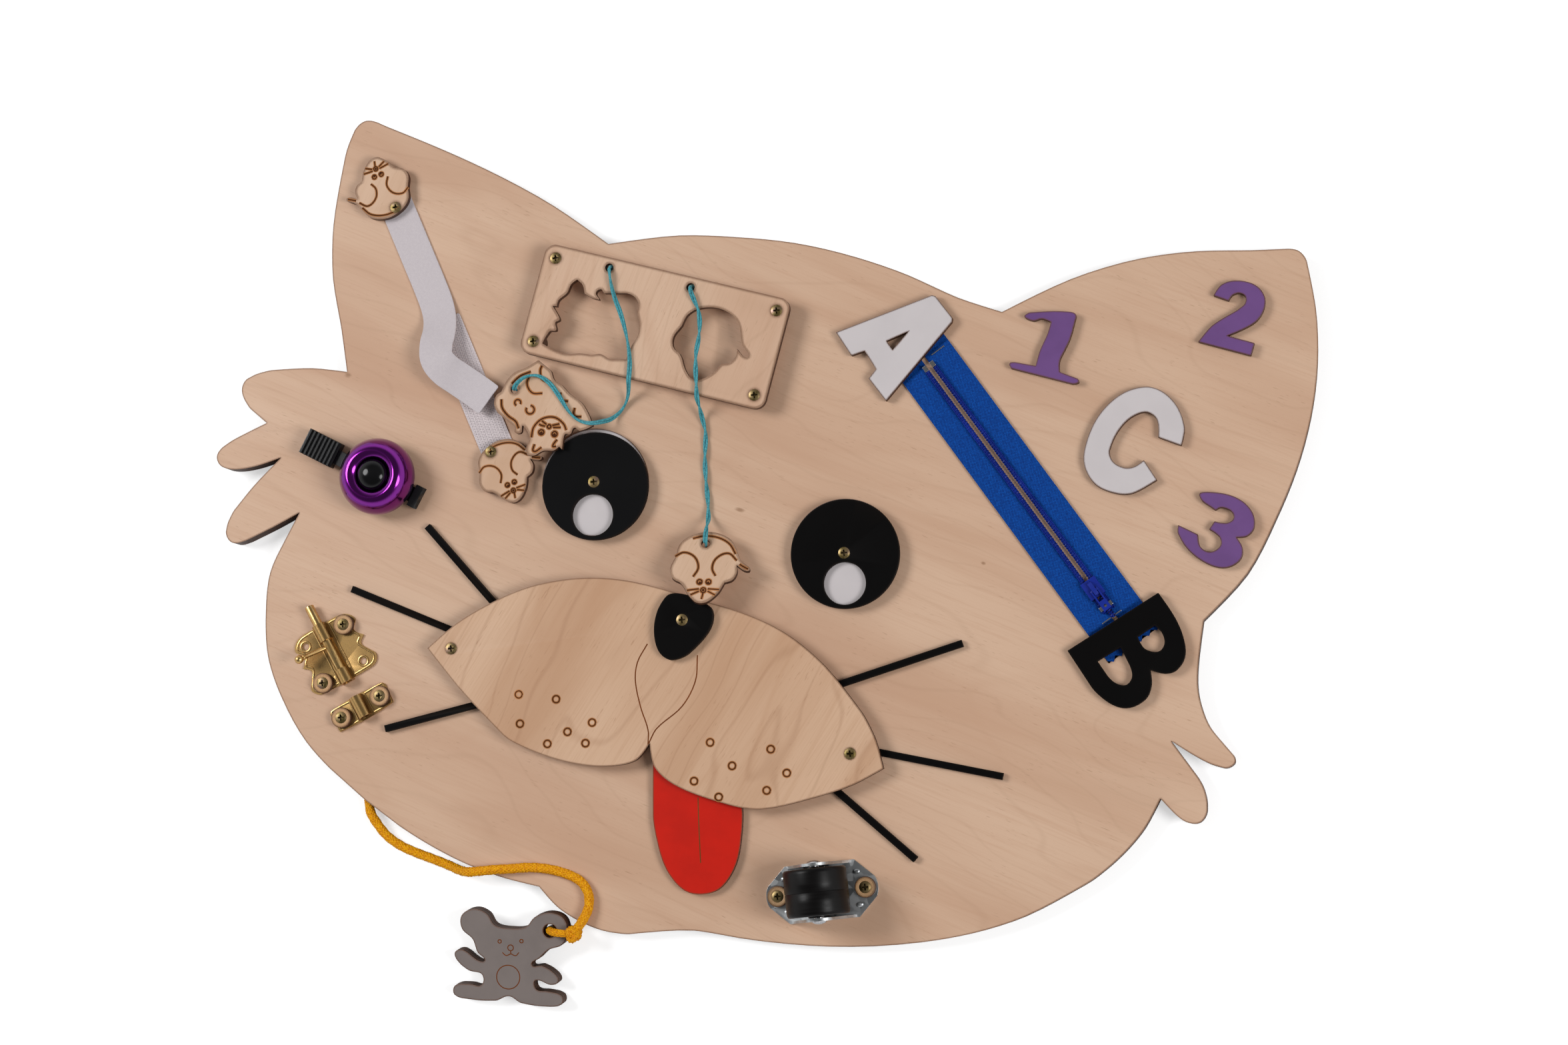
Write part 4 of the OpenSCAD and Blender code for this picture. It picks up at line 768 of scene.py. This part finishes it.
kittenFace = [
    [(-9, 12.6), (-5.4, 8.4), (-4.7, 2.2), (-8, -3.3), (-13.6, -5.2), (-17.6, -4.4)],
    ring(-10.1, 6.8, 1.35), ring(-15.3, 1.8, 1.35), ring(-10.3, 1.7, 0.95),
    ring(-10.3, 7, 0.4, 8), ring(-15.5, 2, 0.4, 8),
    [(-8.9, 3.2), (-7.2, 4.6), (-5.8, 5.2)], [(-8.5, 2.1), (-6.8, 2.6), (-5.3, 2.9)],
    [(-11.9, 0.4), (-13.4, -1.4), (-14.6, -3)], [(-10.9, 0), (-11.8, -1.8), (-12.6, -3.6)],
    [(-16.6, 11.4), (-15.6, 16), (-12.8, 13.4)], [(-21, 5), (-19.8, 6.4), (-18.4, 2.4)],
    [(-0.9, 15.2), (3, 14.2), (8, 15.6), (13.4, 15.6), (17.4, 13.2)], [(20.4, 4), (20.9, -2), (19.2, -8)],
    [(-17, -15), (-14, -12.4), (-10.8, -15)], [(-6, -14.4), (-3, -11.8), (0.4, -13.8)],
    [(6, -6), (9.8, -1.8), (15.4, -2.6), (18.2, -7)], [(8, -13), (12, -10.4), (16.4, -12.2), (18, -14.6)],
    ring(3.2, 4.4, 2.2, 20, 20, 300), ring(10.4, 7.4, 1.6, 20, 200, 280)]
mouseAt = placed((-3.7, -19.6), 22.4 - 6.4 * math.tan(math.radians(15))) @ turned(-15, "X") @ turned(15, "Z")
scorched("kitten_scorch", kittenFace, 19.4, 0.5, placed((-112, 40.6), 0, 142), "kitten")
scorched("mouse_scorch", mouseFace, 3, 0.44, mouseAt, "mouse")


def clampPlace(screw, turn):
    return placed(screw, 0, turn) @ moved(4, -13.4, 0) @ Matrix.Diagonal((0.87, 0.87, 1, 1))


scorched("clamp_upper_scorch", mouseFace, 15.2, 0.46, clampPlace((-219, 127.2), 215))
scorched("clamp_lower_scorch", mouseFace, 15.2, 0.46, clampPlace((-133.2, 12.9), 38))
toyFace = [
    ring(-5.4, 9.2, 0.9, 10), ring(6.2, 10.4, 0.9, 10), ring(0.6, 6.4, 1.5, 14), [(0.7, 4.9), (0.9, 3.4)],
    [(-3.6, 3.6), (-1.6, 2.2), (0.9, 3.3)], [(0.9, 3.3), (3.6, 2.6), (5.2, 4.4)], ring(0.2, -9, 6.2, 26)]
burntLines("toy_scorch", toyFace, 8, 0.28, toyPlace)
print("scorched lines ready")

zipper = {
    "at": (191.1, 20), "rise": 0.9, "thick": 0.6, "width": 14.8, "gap": 2.4, "end": 36, "start": -156,
    "lift": (-144.4, -148.7), "drop": 18.2, "slope": 1.6, "teeth": 3, "tooth": 2.2, "ripple": 0.12,
    "rowStart": -141.2, "rowEnd": 15, "rowLength": 156, "rowWidth": 3, "inner": 0.85, "pitch": 1.45,
    "wire": 0.42, "steps": 10, "meshed": (5.6, 6, 18), "stitch": 0.7}
zipPlace = placed(zipper["at"], boardTop, zipTurn)


def easeStep(t):
    t = max(0, min(1, t))
    return t * t * (3 - 2 * t)


def grid(bm, columns, rows, length, width):
    # a flat strip from x = 0 to length, centred on y = 0
    verts = bmesh.ops.create_grid(bm, x_segments=columns, y_segments=rows, size=0.5)["verts"]
    bmesh.ops.translate(bm, vec=(0.5, 0, 0), verts=verts)
    bmesh.ops.scale(bm, vec=(length, width, 1), verts=verts)
    return verts


def thicken(bm, thick):
    bmesh.ops.solidify(bm, geom=bm.faces[:] + bm.edges[:] + bm.verts[:], thickness=thick)


def zipTape(name, side, rise, node):
    # woven tape: flat at both ends, lifted by the coils between, with pinked ends
    bm = bmesh.new()
    length = zipper["end"] - zipper["start"]
    middle = side * (zipper["gap"] + zipper["width"]) / 2
    for v in grid(bm, 240, 12, length, zipper["width"]):
        x = v.co.x + zipper["start"]
        share = v.co.y / zipper["width"] + 0.5
        if v.co.x > length - 0.1 or v.co.x < 0.1:
            tooth = zipper["tooth"] * abs((share * zipper["teeth"]) % 1 - 0.5) * 2
            x -= math.copysign(tooth, v.co.x - length / 2)
        lift = easeStep((x - rise) / zipper["slope"] + 0.5)
        lift *= easeStep((zipper["drop"] - x) / zipper["slope"] + 0.5)
        ripple = zipper["ripple"] * math.sin(x * 0.33 + side) * lift * (1 - abs(share - 0.5))
        v.co = Vector((x, v.co.y + middle, zipper["rise"] * lift + max(ripple, 0) * 0.5))
    thicken(bm, -zipper["thick"])
    tape = finishPiece(name, bm, "tape_blue", zipPlace, [node], orient=True)


def windings(start, turns, middle, reach, high, rise):
    # a wire that winds along the zipper as an oval spiral
    spots = []
    for i in range(turns * zipper["steps"] + 1):
        a = math.tau * i / zipper["steps"]
        spots.append(Vector((start + zipper["pitch"] * i / zipper["steps"], middle + reach * math.cos(a),
                             high + rise * math.sin(a))))
    return tubesMesh([spots], zipper["wire"], 0)


def zipCoil(name, side, node):
    # one nylon coil: a spiral sewn over a core, with its two lines of stitches
    base = zipper["rise"] + zipper["thick"]
    middle, reach = side * (zipper["inner"] + zipper["rowWidth"] / 2), zipper["rowWidth"] / 2 - zipper["wire"]
    turns = int((zipper["rowEnd"] - zipper["rowStart"]) / zipper["pitch"])
    start, step = zipper["rowStart"], zipper["stitch"]
    meshes = [windings(start, turns, middle, reach, base + 1, 1 - zipper["wire"])]
    for away, z, r in ((0, 0.95, 0.75), (0.9, 1.6, 0.3), (0.2, 1.76, 0.28)):
        y = middle + side * away
        count = int(zipper["rowLength"] / step)
        line = [Vector((start + step * i, y + 0.06 * (i % 2), base + z)) for i in range(count)]
        meshes.append(tubesMesh([line], r, 1))
    finishPiece(name, shapeOf(*meshes), "teeth_blue", zipPlace, [node], sharp=70)


def zipClosed():
    # below the slider the two coils are meshed across the gap
    base = zipper["rise"] + zipper["thick"] + 1
    coreStart, start, end = zipper["meshed"]
    core = tubesMesh([[Vector((coreStart, 0, base)), Vector((end, 0, base))]], 0.5, 1)
    bm = shapeOf(windings(start, 8, 0, 1.25, base, 0.62), core)
    finishPiece("zip_closed", bm, "teeth_blue", zipPlace, sharp=70)


zipClosed()
for side, word in ((-1, "left"), (1, "right")):
    zipTape("zip_tape_" + word, side, zipper["lift"][(side + 1) // 2], "zipper_tape_" + word)
    zipCoil("zip_coil_" + word, side, "zipper_teeth_" + word)
print("zipper ready")

strap = {"at": (-219, 127.2), "width": 18, "thick": 1.2, "hookThick": 0.84, "rows": 12, "edge": 0.3,
         "corner": 0.05}
strapPlace = placed(strap["at"], boardTop, strapTurn)
loopLine = [
    (-8, 0, 0), (10, 0, 0), (30, 0, 0), (46, 0, 0), (57, -0.3, 0.5), (65, -1.4, 2.2), (72, -3.8, 5),
    (79, -7.6, 8), (86, -9.6, 9.8), (93, -8, 9), (100, -3.8, 6.6), (107, 0.6, 5.2), (113, 4.2, 5.2),
    (117.5, 6.8, 5.8)]
hookLine = [(66, 0, 0), (95, 0, 0), (125, 0, 0), (151, 0, 0)]


def ribbonAlong(name, line, thick, replaced, finish=None):
    # a strip bent along a line, its width level and square to the line seen from above
    path = evenly(smoothRoute(line, 8), 1)
    last = len(path) - 1
    bm = bmesh.new()
    for v in grid(bm, last, strap["rows"], last, strap["width"]):
        i = min(round(v.co.x), last)
        way = path[min(i + 1, last)] - path[max(i - 1, 0)]
        across = Vector((-way.y, way.x, 0)).normalized()
        fromEnd = min(i, last - i)
        v.co = path[i] + across * v.co.y * (1 - strap["corner"] * max(0, 1 - fromEnd))
    thicken(bm, -thick)
    bevelSharp(bm, 1, strap["edge"])
    made = finishPiece(name, bm, "tape_white", strapPlace, [replaced], finish, orient=True)


ribbonAlong("loop_tape", loopLine, strap["thick"], "strap_loop_tape")
ribbonAlong("hook_tape", hookLine, strap["hookThick"], "strap_hook_tape", hookFinish)

hooks = {"count": (56, 11), "start": (67, -7.6, 1.01), "pitch": 1.5, "stagger": 0.5, "radii": (0.24, 0.16),
         "height": 0.5, "leanRadians": 0.5}


def hookRows():
    # short bent hooks in slanting rows over the hook tape
    bm = bmesh.new()
    x, y, z = hooks["start"]
    foot, tip = hooks["radii"]
    lean = Matrix.Rotation(hooks["leanRadians"], 4, "Y")
    for i in range(hooks["count"][0]):
        for j in range(hooks["count"][1]):
            place = moved(x + i * hooks["pitch"] + hooks["stagger"] * (j % 2), y + j * hooks["pitch"], z)
            bmesh.ops.create_cone(bm, cap_ends=True, segments=5, radius1=foot, radius2=tip,
                                  depth=hooks["height"], matrix=place @ lean)
    finishPiece("hook_rows", bm, "tape_white", strapPlace)


hookRows()
print("strap ready")

bell = {"at": (-188.8, -14.6), "turn": 168, "rim": 7.5, "seat": 9.6, "wire": 0.35, "coil": 2.1}
bellPlace = placed(bell["at"], boardTop + bell["rim"], bell["turn"])
domeOut = [
    (20.3, 0), (20.3, 1.6), (20, 3.8), (19.3, 5.9), (18.2, 8.3), (16.7, 10.4), (15, 11.9), (13.3, 12.6),
    (12.2, 12.68), (11.2, 12.35), (10.2, 11.85), (9.3, 11.2), (8.6, 10.4), (8.2, 9.75), (7.6, 9.6),
    (1.8, 9.6)]
domeIn = [
    (1.8, 9), (8.5, 9), (9.6, 9.9), (10.8, 11.1), (13, 11.4), (14.6, 10.8), (16.2, 9.2), (17.6, 7),
    (18.6, 4.6), (19, 2.2), (19.1, 0.15), (19.5, -0.05), (20.1, -0.05), (20.3, 0)]
outer = [(p.x, p.z) for p in smoothRoute([(r, 0, h) for r, h in domeOut], 3)]
turnedPiece("bell_dome_shown", outer + domeIn, 96, "bell_purple", bellPlace, "bell_dome", sharp=50)
capProfile = [
    (0, 5.2), (1.5, 5.12), (3, 4.85), (4.6, 4.35), (6, 3.6), (7, 2.9), (7.6, 2.1), (7.7, 1.2),
    (7.7, 0.02), (3.25, 0.02), (3.25, 2.05), (0, 2.05)]
turnedPiece("bell_cap_shown", capProfile, 64, "black_plastic",
            placed(bell["at"], boardTop + bell["rim"] + bell["seat"]), "bell_cap", glossBlack)
coil = [Vector((11 + bell["coil"] * math.cos(a / 3), 3.2 + bell["coil"] * math.sin(a / 3), 6.8 + 0.05 * a))
        for a in range(40)]
springLine = [Vector((17, 4.6, 7))] + coil + [Vector((6.5, 5.8, 8.9))]
finishPiece("bell_spring_shown", shapeOf(tubesMesh([springLine], bell["wire"], 1)), "steel",
            placed(bell["at"], boardTop, bell["turn"]), ["bell_spring"], brightTin)
print("bell ready")

latch = {"at": (-191.5, -107.5), "turn": -46.6, "boltZ": 3.8, "boltD": 5, "lift": -28, "bead": 0.55,
         "flat": 0.75}
latchPlace = placed(latch["at"], boardTop, latch["turn"])
boltPlace = latchPlace @ moved(0, 0, latch["boltZ"])
radius = latch["boltD"] / 2
boltProfile = [
    (0, -24), (radius - 0.5, -24), (radius - 0.1, -23.8), (radius, -23.4), (radius, 20.2),
    (radius - 0.25, 20.7), (radius - 0.7, 21), (0, 21)]
turnedPiece("bolt_shown", boltProfile, 40, "brass_plate", boltPlace, "latch_bolt", brassWithPaintedHighlight, "bolt",
            axis=(1, 0, 0))
knobProfile = [
    (0, 0.6), (1.1, 0.6), (1.1, 14.2), (1.5, 14.6), (1.5, 15.1), (1.25, 15.5), (1.75, 16), (2.2, 16.8),
    (2.3, 17.6), (2.2, 18.4), (1.75, 19.2), (1, 19.75), (0, 19.9)]
turnedPiece("knob_shown", knobProfile, 36, "brass_plate", boltPlace @ turned(90 + latch["lift"], "X"),
            "latch_knob", brassWithPaintedHighlight, "bolt", 50)

# stamped details of the latch: rims round the free holes, a raised border and two ribs beside the bolt
halfEdge = [
    (-11.6, 4.6), (-11.6, 7), (-10.8, 13.2), (-6.9, 16.8), (-2.2, 13.9), (2.6, 16.4), (5.6, 13.9),
    (10.6, 16.3), (15.2, 18.6), (18.5, 16.2), (19.2, 11), (19.3, 4.8)]
keeperEdge = [(30.9, 4.4), (30.9, 15.2), (32.4, 16), (40.9, 15.6), (42.1, 14.6), (42.2, 4.4)]
ribs = [[(-12.2, 4.7), (20, 4.7)], [(30.4, 4.6), (42.6, 4.6)]]
latchLines = [ring(x, y, 2.6) for x, y in ((15.5, 12.2), (-6.5, -12))]
latchLines += [[(x, y * s) for x, y in edge] for s in (-1, 1) for edge in (halfEdge, keeperEdge, *ribs)]
latchRoutes = [smoothRoute([(x, y, 1) for x, y in line], 6) for line in latchLines]
bm = shapeOf(tubesMesh(latchRoutes, latch["bead"], 2))
bmesh.ops.scale(bm, vec=(1, 1, latch["flat"]), space=moved(0, 0, -1), verts=bm.verts)
finishPiece("latch_beads", bm, "brass_plate", latchPlace, finish=brassWithPaintedHighlight)
print("latch ready")

caster = {"at": (95.5, -164), "axle": 19.35, "wheel": 32.5, "fork": 14.7, "dimples": (18.6, 8.4, 1.5)}
casterPlace = placed(caster["at"], boardTop, casterTurn)
axlePlace = casterPlace @ moved(0, 0, caster["axle"])
rim = caster["wheel"] / 2
halfWheel = [
    (2.55, 12.8), (5.4, 12.8), (5.5, 12.4), (5.5, 10.2), (6.4, 9.9), (12.2, 9.9), (12.7, 10.3), (12.9, 11.6),
    (13.3, 12), (14.9, 12), (15.6, 11.7), (16.1, 10.9), (rim, 9.8), (rim, 5), (rim, 0.3), (rim - 0.25, 0)]
wheelProfile = halfWheel + [(r, -h) for r, h in reversed(halfWheel[:-1])] + [halfWheel[0]]
turnedPiece("wheel_shown", wheelProfile, 96, "wheel_black", axlePlace, "caster_wheel", None, "wheel", 50,
            (0, 1, 0))
end = caster["fork"]
halfAxle = [
    (0, end + 1.6), (1.4, end + 1.5), (2.8, end + 1.1), (3.7, end + 0.5), (4, end + 0.02), (2.5, end + 0.02)]
turnedPiece("axle_shown", halfAxle + [(r, -h) for r, h in reversed(halfAxle)], 40, "steel", axlePlace,
            "caster_axle", brightTin, "board", 60, (0, 1, 0))

# half-moon dimples pressed up in the caster's plate, two at each end
bm = bmesh.new()
for sx in (-1, 1):
    for sy in (-1, 1):
        x, y, z = caster["dimples"]
        made = bmesh.ops.create_uvsphere(bm, u_segments=20, v_segments=10, radius=2)["verts"]
        bmesh.ops.scale(bm, vec=(1, 0.7, 0.35), verts=made)
        bmesh.ops.translate(bm, vec=(sx * x, sy * y, z), verts=made)
finishPiece("caster_dimples", bm, "steel", casterPlace)
print("caster ready")

# the lacing knots keep their CAD shape and take their finish
knotMesh = cadNodes["lacing_knots"].data
knotMesh.materials.clear()
knotMesh.materials.append(finishes["lace_teal"])

floorFacts = {"size": 8, "drop": -0.0004, "tone": 0.82, "glow": 0.5, "near": 0.5, "far": 1.5}
studio = {"ambient": 0.24, "backdropTop": 0.3, "ceilingEdge": 0.7, "ceiling": 0.14}
plainWhite = (1, 1, 1, 1)


def seenBy(tree):
    # 1 for a ray that the eye sends, straight or through glass; and the outputs for the other kinds
    path = addNode(tree, "LightPath").outputs
    return mathOf("MAXIMUM", path["Is Camera Ray"], path["Is Transmission Ray"]), path


world = bpy.data.worlds.new("studio")
scene.world = world
world.use_nodes = True
worldTree = world.node_tree
worldTree.nodes.clear()
direct, rays = seenBy(worldTree)
seen = mathOf("MAXIMUM", direct, rays["Is Glossy Ray"])
# metal shows a white backdrop all round and a dimmer ceiling above it
upward = axisOf(placeOf(worldTree, source="Generated"), "Z")
ceiling = rangeOf(upward, studio["backdropTop"], studio["ceilingEdge"], 1, studio["ceiling"])
shown = mathOf("MAXIMUM", direct, ceiling)
ambient = addNode(worldTree, "Background", {"Color": plainWhite, "Strength": studio["ambient"]})
white = addNode(worldTree, "Background", {"Color": plainWhite, "Strength": shown})
blend = addNode(worldTree, "MixShader", {0: seen, 1: ambient.outputs[0], 2: white.outputs[0]})
addNode(worldTree, "OutputWorld", {0: blend.outputs[0]})

floorFinish, floorTree, floorShader = newFinish("paleFloor", (floorFacts["tone"],) * 3 + (1,), 0.9)
floorShader.inputs["Emission Color"].default_value = plainWhite
# the glow grows with distance, so the floor stays white as far as it goes
floorReach = reachOf(placeOf(floorTree))
floorGlow = rangeOf(floorReach, floorFacts["near"], floorFacts["far"], floorFacts["glow"], 1)
feed(floorShader, "Emission Strength", timesOf(seenBy(floorTree)[0], floorGlow))
bm = bmesh.new()
bmesh.ops.create_grid(bm, x_segments=1, y_segments=1, size=floorFacts["size"] / 2)
bmesh.ops.translate(bm, vec=(0, 0, floorFacts["drop"]), verts=bm.verts)
floorMesh = bpy.data.meshes.new("floor")
bm.to_mesh(floorMesh)
bm.free()
linkObject("floor", floorMesh, floorFinish)

lamps = [
    {"name": "leftSoft", "place": (-1.5, 0.12, 1.5), "size": 0.9, "power": 23.2},
    {"name": "rightSoft", "place": (1.5, 0.04, 1.5), "size": 0.9, "power": 20.5},
]
for lamp in lamps:
    data = bpy.data.lights.new(lamp["name"], "AREA")
    data.shape = "DISK"
    data.size = lamp["size"]
    data.energy = lamp["power"]
    light = bpy.data.objects.new(lamp["name"], data)
    scene.collection.objects.link(light)
    place = Vector(lamp["place"])
    light.matrix_world = moved(*place) @ place.to_track_quat("Z", "Y").to_matrix().to_4x4()

scene.view_settings.view_transform = "Standard"
print("studio ready")
